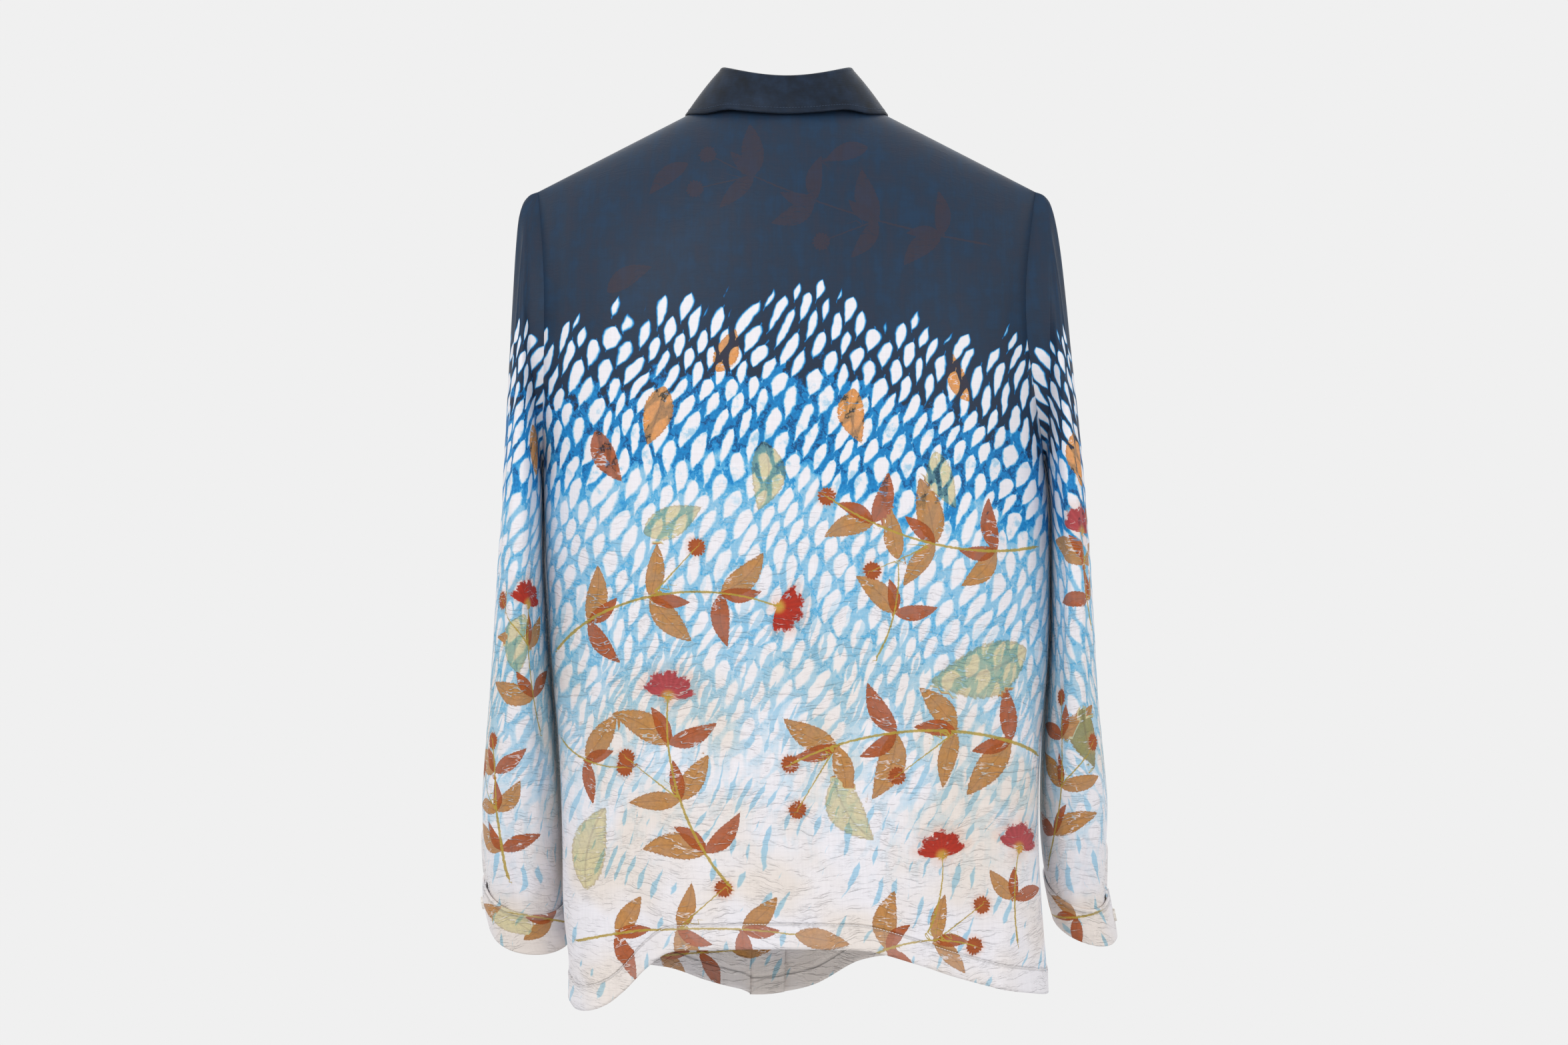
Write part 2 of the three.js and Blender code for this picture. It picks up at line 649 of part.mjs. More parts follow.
// ---------------------------------------------------------------- sleeves
// The armhole seam, from the shoulder tip down the back, under the arm and up the front.
function armholePoint(side, i) {
  const row = i <= ROWS_ABOVE ? i : RING_POINTS - i;
  const face = i <= ROWS_ABOVE ? 'back' : 'front';
  const edge = edgeAt(side, row);
  const point = bodyPoint(face, edge.x, edge.z);
  if (row === 0 || row === ROWS_ABOVE) {
    point.y = 0;
  }
  return point;
}

function sleeveFoldAt(angle, ring) {
  let sum = 0;
  for (const fold of SLEEVE_FOLDS) {
    let turn = angle - fold.angle;
    turn = Math.atan2(Math.sin(turn), Math.cos(turn));
    const ends = smooth((ring - fold.from) / 2) * smooth((fold.to - ring) / 2 + 0.5);
    sum += fold.depth * Math.exp(-((turn / fold.width) ** 2)) * ends;
  }
  return sum;
}

function ringPoint(side, row, angle, grow) {
  const powered = (value) => Math.sign(value) * Math.pow(Math.abs(value), 2 / row.square);
  const out = powered(Math.cos(angle));
  const round = powered(Math.sin(angle));
  const half = (row.outX - row.inX) / 2 + grow;
  const depth = (round > 0 ? row.back : row.front) + grow;
  const x = (row.outX + row.inX) / 2 + half * out;
  const y = row.mid - depth * round;
  const z = (row.outZ + row.inZ) / 2 + ((row.outZ - row.inZ) / 2) * out + row.fall * (y - row.mid);
  return new THREE.Vector3(side * x, y, z);
}

function makeSleeve(name, arm) {
  const rings = [];
  const seam = [];
  for (let i = 0; i < RING_POINTS; i += 1) {
    const point = armholePoint(arm.side, i);
    point.x += arm.side * 2 * SEAM_GAP;
    seam.push(point);
  }
  rings.push(seam);
  arm.sections.forEach((row, k) => {
    const line = [];
    const hold = 1 - smooth((k + 1) / SLEEVE_HEAD.rings);
    for (let i = 0; i < RING_POINTS; i += 1) {
      const angle = (2 * Math.PI * i) / RING_POINTS;
      const free = ringPoint(arm.side, row, angle, sleeveFoldAt(angle, k + 1));
      const held = seam[i].clone();
      held.x += (free.x - seam[i].x) * SLEEVE_HEAD.outShare;
      held.z += (free.z - seam[i].z) * SLEEVE_HEAD.downShare;
      line.push(free.lerp(held, hold));
    }
    rings.push(line);
  });
  const turned = arm.side > 0 ? rings : rings.map((line) => [...line].reverse());
  return piece(name, clothWall(turned, () => CLOTH, { closed: true }), silk(SILK.white));
}

// A cuff is a band whose ends lap at the outer edge, the back end over the front end.
function makeCuff(name, arm) {
  const grid = [];
  const first = CUFF.start - CUFF.lap;
  for (const row of arm.cuff) {
    const line = [];
    for (let i = 0; i <= CUFF.steps; i += 1) {
      const angle = first + ((2 * Math.PI + CUFF.lap) * i) / CUFF.steps;
      const over = smooth(1 - (angle - first) / (2 * CUFF.lap));
      line.push(ringPoint(arm.side, row, angle, CUFF.swell + CUFF.lapLift * over));
    }
    grid.push(line);
  }
  const turned = arm.side > 0 ? grid : grid.map((line) => [...line].reverse());
  return piece(name, clothWall(turned, () => COLLAR_CLOTH), silk(SILK.white));
}

// ---------------------------------------------------------------- buttons
function buttonGeometry() {
  const { radius, thickness, rim, dish, round, sides } = BUTTON;
  const rimInside = radius - round - rim;
  const profile = [
    new THREE.Vector2(0, 0),
    new THREE.Vector2(radius - round, 0),
    new THREE.Vector2(radius, thickness / 2),
    new THREE.Vector2(radius - round, thickness),
    new THREE.Vector2(rimInside, thickness),
    new THREE.Vector2(rimInside - round, thickness - dish),
    new THREE.Vector2(0, thickness - dish),
  ];
  return new THREE.LatheGeometry(profile, sides);
}

// A button with its back a seam gap off the cloth, facing along the given direction.
function makeButton(name, place, direction) {
  const mesh = piece(name, buttonGeometry(), new THREE.MeshStandardMaterial({
    color: SILK.shell,
    roughness: 0.25,
    metalness: 0,
  }));
  const up = new THREE.Vector3(0, 1, 0);
  mesh.quaternion.setFromUnitVectors(up, direction);
  mesh.position.copy(place).addScaledVector(direction, SEAM_GAP);
  return mesh;
}

function makeFrontButton(index) {
  const z = FRONT_BUTTONS.firstZ - FRONT_BUTTONS.pitch * index;
  const x = closingLine(z);
  const direction = frontNormal(x, z);
  const place = bodyPoint('front', x, z).addScaledVector(direction, LAP_LIFT);
  return makeButton(`button_front_${index + 1}`, place, direction);
}

function makeStandButton() {
  const raised = standRaise(Math.PI);
  const foot = standFoot(Math.PI, raised);
  const top = standTop(Math.PI, raised);
  const slope = top.clone().sub(foot).normalize();
  const direction = new THREE.Vector3(0, slope.z, -slope.y);
  return makeButton('button_stand', foot.lerp(top, 0.5), direction);
}

function makeCuffButton(name, arm) {
  const angle = CUFF.start - CUFF.lap / 2;
  const grow = CUFF.swell + CUFF.lapLift;
  const lower = arm.cuff[2];
  const upper = arm.cuff[1];
  const place = ringPoint(arm.side, upper, angle, grow);
  place.lerp(ringPoint(arm.side, lower, angle, grow), 0.5);
  const turn = CUFF.lap / 2;
  const across = ringPoint(arm.side, lower, angle + turn, grow);
  across.sub(ringPoint(arm.side, lower, angle - turn, grow));
  const along = ringPoint(arm.side, lower, angle, grow);
  along.sub(ringPoint(arm.side, upper, angle, grow));
  const direction = across.cross(along).normalize();
  if (direction.x * arm.side < 0) {
    direction.negate();
  }
  return makeButton(name, place, direction);
}

// ---------------------------------------------------------------- the shirt
const shirt = new THREE.Group();
shirt.add(makeBack());
shirt.add(makeFront('front_left', -1));
shirt.add(makeFront('front_right', 1));
shirt.add(makeStand());
shirt.add(makeFall());
shirt.add(makeSleeve('sleeve_left', SLEEVES.left));
shirt.add(makeSleeve('sleeve_right', SLEEVES.right));
shirt.add(makeCuff('cuff_left', SLEEVES.left));
shirt.add(makeCuff('cuff_right', SLEEVES.right));
shirt.add(makeStandButton());
for (let i = 0; i < FRONT_BUTTONS.count; i += 1) {
  shirt.add(makeFrontButton(i));
}
shirt.add(makeCuffButton('button_cuff_left', SLEEVES.left));
shirt.add(makeCuffButton('button_cuff_right', SLEEVES.right));

export default shirt;
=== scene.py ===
"""A long-sleeved silk shirt, bound and dyed in indigo and printed with leaves, filled out as when worn.

Tables and formulas are in millimetres and meshes in metres. +Z is up, the back faces -Y and the
wearer's right is +X. The origin is the middle of the neck.
"""

import math

import bmesh
import bpy
import numpy as np
from mathutils import Matrix, Vector


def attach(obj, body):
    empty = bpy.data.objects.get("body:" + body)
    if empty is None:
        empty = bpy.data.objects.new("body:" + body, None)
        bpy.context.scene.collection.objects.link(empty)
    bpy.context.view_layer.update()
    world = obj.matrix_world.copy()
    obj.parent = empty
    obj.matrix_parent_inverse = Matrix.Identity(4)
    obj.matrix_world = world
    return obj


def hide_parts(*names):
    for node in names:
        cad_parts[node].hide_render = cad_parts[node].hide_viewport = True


bl_info = {
    "name": "Shibori shirt",
    "version": (1, 0, 0),
    "blender": (4, 5, 0),
    "location": "View3D > Sidebar > Shirt",
    "description": "Builds a bound and dyed silk shirt as thin cloth over its solid parts",
    "category": "Object",
}

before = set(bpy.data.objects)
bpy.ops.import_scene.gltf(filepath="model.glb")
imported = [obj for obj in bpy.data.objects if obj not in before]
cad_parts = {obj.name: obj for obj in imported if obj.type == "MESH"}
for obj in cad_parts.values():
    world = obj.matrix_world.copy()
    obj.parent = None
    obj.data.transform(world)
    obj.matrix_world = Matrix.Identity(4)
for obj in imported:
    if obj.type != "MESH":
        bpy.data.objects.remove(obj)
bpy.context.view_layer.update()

MM = 0.001
# Lengths that the spacing of the cloth divides, and fixed counts: round, then along.
PANEL_ABOVE, PANEL_BELOW, SLEEVE_ROUND, SLEEVE_ALONG = 370, 470, 400, 640
CUFF_GRID, STAND_GRID, FALL_GRID = (130, 16), (160, 8), (180, 12, 16)

# ---------------------------------------------------------------- the cut, as in the solids
NECK_HALF, NECK_BACK, NECK_FRONT = 62.0, 54.0, 58.0
SHOULDER_X, SHOULDER_Z = 214.5, -78.0
UNDERARM_Z = -310.0
ROUNDNESS = 2.5
SEAM_GAP = 0.3
SHOULDER_CURVE = {"back": (2.6, 0.55), "front": (2.0, 0.8)}
ARMHOLE_DEPTH = 0.45
CLOSING_HALF, CLOSING_DRIFT = 15.0, 0.024
LAP_LIFT, LAP_FROM, LAP_TO = 2.7, 17.0, 45.0
STAND_RISE, STAND_LEAN = 24.5, 8.0
FALL_END, FALL_SPREAD, FALL_BOW, FALL_REST = 0.13, 0.62, 1.5, 1.9
CUFF_START, CUFF_LAP, CUFF_LIFT, CUFF_SWELL, CUFF_TUCK = 0.16, 0.32, 2.4, 1.2, 1.4
FOLD_DEPTH = 60.0
HEAD_RINGS, HEAD_OUT, HEAD_DOWN = 4, 0.9, 0.5
RING_POINTS = 28
NECK_SHARE = NECK_HALF / SHOULDER_X
# Turned hems, and how much of the way in depth counts across the print's map.
BACK_HEM_BAND, FRONT_HEM_BAND = 22.0, 17.0
SLIT_HEIGHT, SLIT_TURN, SLIT_LIFT = 44.0, 0.2, 2.2
BODY_DEPTH_SHARE, SLEEVE_DEPTH_SHARE, RISE_SHARE = 0.55, 0.6, 0.3
SEAM_TUCK = 0.5
# Stitching: length from stitch to stitch, share of it that shows, and distances from edges.
STITCH_PITCH, STITCH_SHARE, THREAD_RADIUS, THREAD_SIDES = 2.6, 0.8, 0.26, 6
FACING_STITCH, CUFF_STITCH, COLLAR_STITCH = 28.0, 4.5, 5.0
# Buttons: sizes of the shell disc, its rim and dish, and its four holes.
BUTTON_RADIUS, BUTTON_THICKNESS, BUTTON_RIM, BUTTON_DISH = 5.75, 2.4, 1.1, 0.7
HOLE_RADIUS, HOLE_SPACING = 0.65, 1.05


def table(names, *rows):
    """Columns of numbers by name."""
    values = np.array(rows, float)
    return {name: values[:, i] for i, name in enumerate(names.split())}


SECTIONS = table(
    "z left right back front",
    (-78, -214.5, 214.5, 128, 120),
    (-120, -209.5, 208, 128, 120),
    (-160, -206.5, 203.5, 128, 120),
    (-205, -206, 204, 128, 121),
    (-255, -207, 211, 128, 122),
    (-310, -209, 221, 129, 124),
    (-372, -208, 225.5, 130, 125),
    (-473, -203, 225, 130, 126),
    (-553, -196, 218.5, 129, 126),
    (-631, -193, 216.5, 128, 125),
    (-694, -192, 219.5, 127, 125),
    (-745, -187, 223.5, 126, 124),
    (-790, -188, 225, 125, 123),
)
HEMS = {
    "back": table(
        "across z",
        (-1, -769),
        (-0.95, -775),
        (-0.85, -770),
        (-0.76, -757),
        (-0.66, -736),
        (-0.56, -721),
        (-0.4, -717.5),
        (0.12, -717),
        (0.27, -719),
        (0.42, -728),
        (0.6, -742),
        (0.78, -754),
        (0.92, -761),
        (1, -766),
    ),
    "front": table(
        "across z",
        (-1, -762),
        (-0.8, -756),
        (-0.62, -758),
        (-0.45, -772),
        (-0.2, -784),
        (-0.03, -785),
        (0.1, -777),
        (0.24, -755),
        (0.45, -751),
        (0.75, -755),
        (1, -762),
    ),
}
FOLDS = {
    "back": table(
        "x z width length depth lean",
        (-168, -756, 17, 75, 9, -0.1),
        (-128, -740, 18, 90, -7, 0.1),
        (-70, -700, 30, 120, 4, 0.15),
        (96, -690, 34, 150, 5, -0.12),
        (158, -660, 24, 170, -4, -0.05),
        (-178, -420, 16, 150, -4, 0),
        (186, -400, 16, 160, -4, 0.03),
    ),
    "front": table(
        "x z width length depth lean",
        (-112, -770, 16, 110, -9, 0.06),
        (-82, -770, 17, 120, 5, 0.05),
        (52, -750, 20, 110, -8, -0.08),
        (92, -740, 24, 130, 5, -0.05),
        (-150, -330, 20, 120, -5, 0.2),
        (158, -330, 20, 120, -5, -0.2),
    ),
}
SLEEVE_ROWS = {
    "left": table(
        "out_x out_z in_x in_z mid back front fall square",
        (223, -85, 210.4, -311, 0, 50, 45, 0, 2),
        (229, -98, 210.6, -312, 0, 54, 50, 0, 2),
        (231.5, -125, 210.8, -314, 0, 59, 56, 0, 2.1),
        (234, -165, 211, -317, 0, 65, 62, 0, 2.2),
        (236.5, -210, 211, -321, 0, 71, 69, 0, 2.4),
        (239, -262, 210.5, -328, 0, 76, 75, 0, 2.6),
        (241.5, -312, 210, -342, 0, 80, 80, 0.01, 2.7),
        (244, -358, 210, -366, 0, 83, 83, 0.03, 2.7),
        (247.5, -405, 209.5, -405, 1, 83, 83, 0.06, 2.6),
        (250.5, -450, 207, -450, 4, 80, 79, 0.1, 2.5),
        (254.5, -497, 203.5, -497, 10, 74, 73, 0.16, 2.4),
        (259, -545, 199.5, -545, 18, 68, 66, 0.22, 2.3),
        (263.5, -594, 197, -594, 28, 62, 60, 0.29, 2.3),
        (264, -632, 195.5, -636, 38, 56, 54, 0.35, 2.2),
        (263, -658, 195, -668, 45, 50, 48, 0.4, 2.2),
        (261, -675, 195, -689, 50, 43, 42, 0.42, 2.1),
    ),
    "right": table(
        "out_x out_z in_x in_z mid back front fall square",
        (223, -85, 222.6, -311, 0, 50, 45, 0, 2),
        (229, -98, 222.9, -312, 0, 54, 50, 0, 2),
        (234, -128, 223.3, -314, 0, 59, 56, 0, 2.1),
        (239, -172, 223.8, -317, 0, 65, 62, 0, 2.2),
        (243.5, -218, 224.5, -321, 0, 71, 69, 0, 2.4),
        (248.5, -266, 225.4, -328, 0, 76, 75, 0, 2.6),
        (253, -314, 226.8, -342, 0, 80, 80, 0.01, 2.7),
        (257, -360, 227.6, -366, 0, 83, 83, 0.03, 2.7),
        (260.5, -410, 227.8, -410, 1, 83, 83, 0.06, 2.6),
        (263.5, -458, 227.6, -458, 4, 80, 79, 0.1, 2.5),
        (267, -505, 225, -505, 10, 74, 73, 0.16, 2.4),
        (272, -548, 222.5, -548, 18, 68, 66, 0.22, 2.3),
        (277.5, -596, 221.5, -592, 28, 62, 60, 0.29, 2.3),
        (278, -636, 222, -628, 38, 56, 54, 0.35, 2.2),
        (277.5, -664, 224, -652, 45, 50, 48, 0.4, 2.2),
        (277.5, -686, 227, -670, 50, 44, 43, 0.38, 2.1),
    ),
}
CUFF_ROWS = {
    "left": table(
        "out_x out_z in_x in_z mid back front fall square",
        (261.5, -675.8, 194.6, -689.8, 50.2, 42, 41, 0.42, 2.1),
        (262, -690, 193.6, -702, 54, 42, 42, 0.42, 2.1),
        (260, -703, 191.8, -713, 57, 42, 42, 0.42, 2.1),
        (257, -716, 189.5, -723, 60, 41, 41, 0.42, 2.1),
    ),
    "right": table(
        "out_x out_z in_x in_z mid back front fall square",
        (278, -687.6, 227.2, -671.6, 50.4, 43, 42, 0.36, 2.1),
        (281, -701, 229.5, -684, 54, 43, 43, 0.32, 2.1),
        (284, -714, 232.5, -697, 57, 43, 43, 0.28, 2.1),
        (286, -726, 236, -709, 60, 42, 42, 0.24, 2.1),
    ),
}
SLEEVE_FOLDS = table(
    "angle start end width depth",
    (0.62, 1, 9, 0.2, -3.5),
    (1.15, 2, 12, 0.22, -3),
    (2.3, 5, 13, 0.25, -3),
    (-0.9, 1, 10, 0.22, -3.5),
    (-1.7, 4, 13, 0.25, -3),
    (1.45, 12, 15.4, 0.16, -4.5),
    (-1.3, 12, 15.4, 0.16, -4.5),
)
FALL_EDGE = table(
    "angle drop out",
    (0, 30.2, 17),
    (0.8, 30, 22),
    (1.45, 30.2, 28),
    (1.75, 30.8, 30.5),
    (2.3, 34, 35),
    (2.8, 46, 39),
    (math.pi, 55, 41),
)
ROLL = table("out up", (-1.8, 0.9), (-1.5, 2.6), (0.4, 3.9), (2.6, 3.2), (4.2, 0.9))

# ---------------------------------------------------------------- creases placed one by one
# Depth is outwards. Ridges are narrow and troughs wide, as silk hangs.
CREASES = {
    "back": table(
        "x z width length depth lean",
        (-196, -150, 6, 60, -2.2, 0.05),
        (-184, -215, 8, 90, 1.6, 0.02),
        (-150, -470, 7, 70, -1.5, 0.25),
        (-112, -560, 9, 90, 1.4, -0.3),
        (-62, -610, 7, 60, -1.3, 0.35),
        (-20, -520, 10, 80, 1.2, -0.2),
        (22, -640, 8, 70, -1.5, 0.3),
        (64, -570, 8, 90, 1.5, -0.28),
        (112, -480, 9, 100, -1.6, 0.2),
        (140, -590, 7, 70, 1.5, -0.35),
        (176, -520, 9, 110, 1.8, 0.06),
        (192, -200, 7, 80, -2.0, -0.03),
        (-146, -744, 6, 36, 3.0, 0.3),
        (-106, -724, 8, 42, 2.0, 0.2),
        (-40, -700, 7, 30, -1.2, -0.3),
        (38, -708, 8, 34, 1.3, 0.25),
        (120, -735, 8, 36, -1.8, -0.2),
        (182, -745, 7, 44, 2.2, 0.1),
        (-30, -90, 26, 26, 0.9, 0.8),
        (44, -96, 22, 24, -0.8, -0.9),
        (-92, -118, 30, 22, 0.8, 1.1),
        (98, -126, 30, 24, 0.8, -1.1),
    ),
    "front": table(
        "x z width length depth lean",
        (-60, -180, 9, 90, 1.4, 0.35),
        (70, -190, 9, 95, 1.4, -0.35),
        (-120, -420, 10, 110, -1.8, 0.15),
        (118, -430, 10, 120, -1.8, -0.12),
        (-86, -560, 9, 100, 1.7, -0.18),
        (82, -570, 9, 90, 1.6, 0.2),
        (-160, -640, 10, 90, -2.0, 0.05),
        (166, -650, 10, 90, 2.0, -0.05),
        (-36, -690, 7, 60, 1.3, 0.1),
        (34, -680, 7, 60, -1.3, -0.12),
        (-150, -250, 10, 60, 1.6, 0.5),
        (152, -255, 10, 60, 1.6, -0.5),
    ),
}
# Creases of the sleeves: angle from the outer edge round the back, ring, half width as an
# angle, half length in rings, depth, and turn of the angle from ring to ring.
SLEEVE_CREASES = table(
    "angle ring width length depth lean",
    (0.3, 3.0, 0.09, 1.6, 1.6, 0.02),
    (0.95, 3.4, 0.1, 1.8, -1.8, 0.03),
    (1.5, 4.2, 0.12, 2.0, 1.6, -0.04),
    (0.5, 8.4, 0.12, 1.0, -1.8, 0.35),
    (1.2, 8.9, 0.11, 1.1, 1.8, 0.4),
    (1.9, 9.2, 0.12, 1.0, -1.6, -0.35),
    (-0.6, 8.6, 0.12, 1.1, 1.8, -0.4),
    (-1.4, 9.1, 0.13, 1.0, -1.7, 0.35),
    (0.8, 12.6, 0.12, 1.5, 1.8, 0.1),
    (1.8, 13.4, 0.12, 1.2, -1.8, -0.12),
    (0.2, 14.2, 0.12, 1.3, -1.7, 0.1),
    (-0.8, 13.6, 0.13, 1.4, 1.7, 0.1),
    (2.6, 12.0, 0.12, 1.6, 1.4, 0.1),
    (1.1, 15.2, 0.1, 0.9, -1.6, 0.0),
)

# ---------------------------------------------------------------- the dyeing
# Heights where the bound cells begin, and where navy, bright blue and pale blue end.
DYE_BACK = table(
    "x cells navy bright pale",
    (-240, -196, -262, -335, -520),
    (-205, -192, -258, -330, -500),
    (-130, -182, -250, -322, -480),
    (-60, -172, -240, -318, -470),
    (0, -164, -236, -320, -470),
    (60, -176, -246, -335, -490),
    (120, -190, -268, -350, -500),
    (180, -208, -290, -360, -500),
    (240, -204, -300, -365, -520),
)
# Steps between neighbouring bound points, down to the right and down to the left.
CELL_STEP_A, CELL_STEP_B = (6.7, -14.7), (-16.0, -17.6)
CELL_TILT = math.radians(67)
LONG_AXIS = (math.cos(CELL_TILT), math.sin(CELL_TILT), 0)
WIDE_AXIS = (-math.sin(CELL_TILT), math.cos(CELL_TILT), 0)
STREAK_PITCH = 12.0
CELL_HALF_LENGTH, CELL_HALF_WIDTH = 12.8, 4.7


def read(rows, key, at, column):
    """The value of a column at places in a table, with a smooth run between rows."""
    keys, values = rows[key], rows[column]
    if keys[0] > keys[-1]:
        keys, values = keys[::-1], values[::-1]
    last = len(keys) - 1
    place = np.clip(at, keys[0], keys[-1])
    i = np.clip(np.searchsorted(keys, place) - 1, 0, last - 1)
    before = np.maximum(np.arange(last + 1) - 1, 0)
    after = np.minimum(np.arange(last + 1) + 1, last)
    slope = (values[after] - values[before]) / (keys[after] - keys[before])
    span = keys[i + 1] - keys[i]
    t = (place - keys[i]) / span
    t2, t3 = t * t, t * t * t
    return (
        (2 * t3 - 3 * t2 + 1) * values[i]
        + (t3 - 2 * t2 + t) * span * slope[i]
        + (3 * t2 - 2 * t3) * values[i + 1]
        + (t3 - t2) * span * slope[i + 1]
    )


def smooth(value):
    t = np.clip(value, 0, 1)
    return t * t * (3 - 2 * t)


def lift(across, power=ROUNDNESS):
    return np.maximum(0, 1 - np.abs(across) ** power) ** (1 / power)


# ---------------------------------------------------------------- the body's surface
def ridge_height(x):
    reach = np.abs(x)
    slope = -SHOULDER_Z / (SHOULDER_X - NECK_HALF)
    inside = 0.5 * slope * NECK_HALF * (1 - (reach / NECK_HALF) ** 2)
    return np.where(reach >= NECK_HALF, -slope * (reach - NECK_HALF), inside)


def section(z):
    left = read(SECTIONS, "z", z, "left")
    right = read(SECTIONS, "z", z, "right")
    return (left + right) / 2, (right - left) / 2


def armhole_cut(z):
    run = np.clip((SHOULDER_Z - z) / (SHOULDER_Z - UNDERARM_Z), 0, 1)
    return lift(ARMHOLE_DEPTH * 2 * np.sqrt(run * (1 - run)))


def folds_at(folds, x, z):
    """The sum of soft troughs and ridges at places across and up."""
    total = np.zeros(np.broadcast(x, z).shape)
    for i in range(len(folds["x"])):
        f = {name: column[i] for name, column in folds.items()}
        along = (z - f["z"]) / f["length"]
        across = (x - f["x"] - f["lean"] * (z - f["z"])) / f["width"]
        total = total + f["depth"] * np.exp(-along * along - across * across)
    return total


def body_depth(face, x, z):
    middle, half = section(z)
    full = read(SECTIONS, "z", z, face) * lift(armhole_cut(z) * (x - middle) / half)
    ridge = ridge_height(x)
    down = np.clip((ridge - z) / (ridge - UNDERARM_Z), 0, 1)
    flat, rise = SHOULDER_CURVE[face]
    return full * np.where(z <= UNDERARM_Z, 1, (1 - (1 - down) ** flat) ** rise)


def body_point(face, x, z, creased=False):
    depth = body_depth(face, x, z)
    fold = folds_at(FOLDS[face], x, z)
    if creased:
        fold = fold + folds_at(CREASES[face], x, z)
    sign = -1 if face == "back" else 1
    y = sign * (SEAM_GAP / 2 + depth + fold * smooth(depth / FOLD_DEPTH))
    return np.stack(np.broadcast_arrays(x, y, z), -1)


def neck_point(angle):
    x = NECK_HALF * np.sin(angle)
    back = np.cos(angle) >= 0
    depth = np.where(back, NECK_BACK, NECK_FRONT) * np.abs(np.cos(angle))
    z = np.where(back, neck_height("back", x, depth), neck_height("front", x, depth))
    return np.stack([x, np.where(back, -1, 1) * (depth + SEAM_GAP / 2), z], -1)


def neck_height(face, x, depth=None):
    if depth is None:
        reach = NECK_BACK if face == "back" else NECK_FRONT
        depth = reach * np.sqrt(np.maximum(0, 1 - (x / NECK_HALF) ** 2))
    return body_height(face, x, depth)


def body_height(face, x, depth):
    """Height of the body's surface above the chest, at places across and in depth."""
    flat, rise = SHOULDER_CURVE[face]
    share = np.clip(depth / (SECTIONS[face][0] * lift(x / SHOULDER_X)), 0, 1)
    down = 1 - (1 - share ** (1 / rise)) ** (1 / flat)
    ridge = ridge_height(x)
    return ridge - down * (ridge - UNDERARM_Z)


def top_height(face, x):
    inside = neck_height(face, np.clip(x, -NECK_HALF, NECK_HALF))
    return np.where(np.abs(x) < NECK_HALF, inside, ridge_height(x))


def closing_line(z):
    return CLOSING_DRIFT * np.minimum(0, z - SHOULDER_Z)


def front_normal(x, z):
    slope_x = (body_depth("front", x + 1, z) - body_depth("front", x - 1, z)) / 2
    slope_z = (body_depth("front", x, z + 1) - body_depth("front", x, z - 1)) / 2
    normal = np.stack(np.broadcast_arrays(-slope_x, 1, -slope_z), -1)
    return normal / np.linalg.norm(normal, axis=-1, keepdims=True)


def lap_lift(x, z):
    past = x - closing_line(z)
    return LAP_LIFT * smooth((LAP_TO - past) / (LAP_TO - LAP_FROM))


# ---------------------------------------------------------------- fine grids of the pieces
def place_at(columns, middle, half, z):
    """Columns are rows of share, offset and mix: see the solids' own columns."""
    share, offset, mix = (columns[:, i][None, :] for i in range(3))
    from_middle = middle + share * half
    from_closing = closing_line(z) + offset
    return from_closing + (from_middle - from_closing) * mix


def even_columns(face, anchors, step):
    """Columns between anchors, evenly spaced over the cloth at the underarm."""
    anchors = np.array(anchors, float)
    middle, half = section(UNDERARM_Z)
    out = [anchors[:1]]
    for a, b in zip(anchors[:-1], anchors[1:]):
        t = smooth(np.linspace(0, 1, 1500))[:, None]
        dense = a + (b - a) * t
        x = place_at(dense, middle, half, UNDERARM_Z)[0]
        line = body_point(face, x, np.full_like(x, UNDERARM_Z))
        arc = np.concatenate([[0], np.cumsum(np.linalg.norm(np.diff(line, axis=0), axis=1))])
        count = max(1, round(arc[-1] / step))
        share = np.interp(np.linspace(0, arc[-1], count + 1)[1:], arc, t[:, 0])
        out.append(a + (b - a) * share[:, None])
    return np.concatenate(out)


def panel_grid(face, columns, above, below):
    """Points of a body panel, from its top edge to its hem."""
    hem = HEMS[face]
    top_x = place_at(columns, 0.0, SHOULDER_X, SHOULDER_Z)
    top_z = top_height(face, top_x)
    share = ((1 - np.cos(np.pi * np.linspace(0, 1, above + 1))) / 2)[:, None]
    z_up = top_z + (UNDERARM_Z - top_z) * share
    edge_z = SHOULDER_Z + (UNDERARM_Z - SHOULDER_Z) * share
    middle, half = section(edge_z)
    x_up = place_at(columns, middle, half, z_up)
    x_up[0] = top_x[0]
    run = np.linspace(0, 1, below + 1)[1:, None]
    middle, half = section(UNDERARM_Z)
    across = (place_at(columns, middle, half, UNDERARM_Z) - middle) / half
    z_down = UNDERARM_Z + (read(hem, "across", across, "z") - UNDERARM_Z) * run
    middle, half = section(z_down)
    x_down = place_at(columns, middle, half, z_down)
    x, z = np.concatenate([x_up, x_down]), np.concatenate([z_up, z_down])
    return body_point(face, x, z, creased=True)


def steps_between(grid, axis):
    return np.linalg.norm(np.diff(grid, axis=axis), axis=-1)


def cloth_map(grid, middle_column, depth_share=1.0):
    """Distance over the cloth from a column, and height.

    Only a share of the way in depth counts, so that the net keeps its width where the cloth
    turns to the side."""
    squeezed = grid * (1, depth_share, RISE_SHARE)
    across = np.cumsum(np.pad(steps_between(squeezed, 1), ((0, 0), (1, 0))), axis=1)
    across = across - across[:, middle_column : middle_column + 1]
    return np.stack([across, grid[..., 2]], -1)


def normals_of(grid, flip):
    """Outward directions at a grid's points."""
    across, along = np.gradient(grid, axis=1), np.gradient(grid, axis=0)
    normal = np.cross(along, across) * (-1 if flip else 1)
    return normal / np.maximum(np.linalg.norm(normal, axis=-1, keepdims=True), 1e-9)


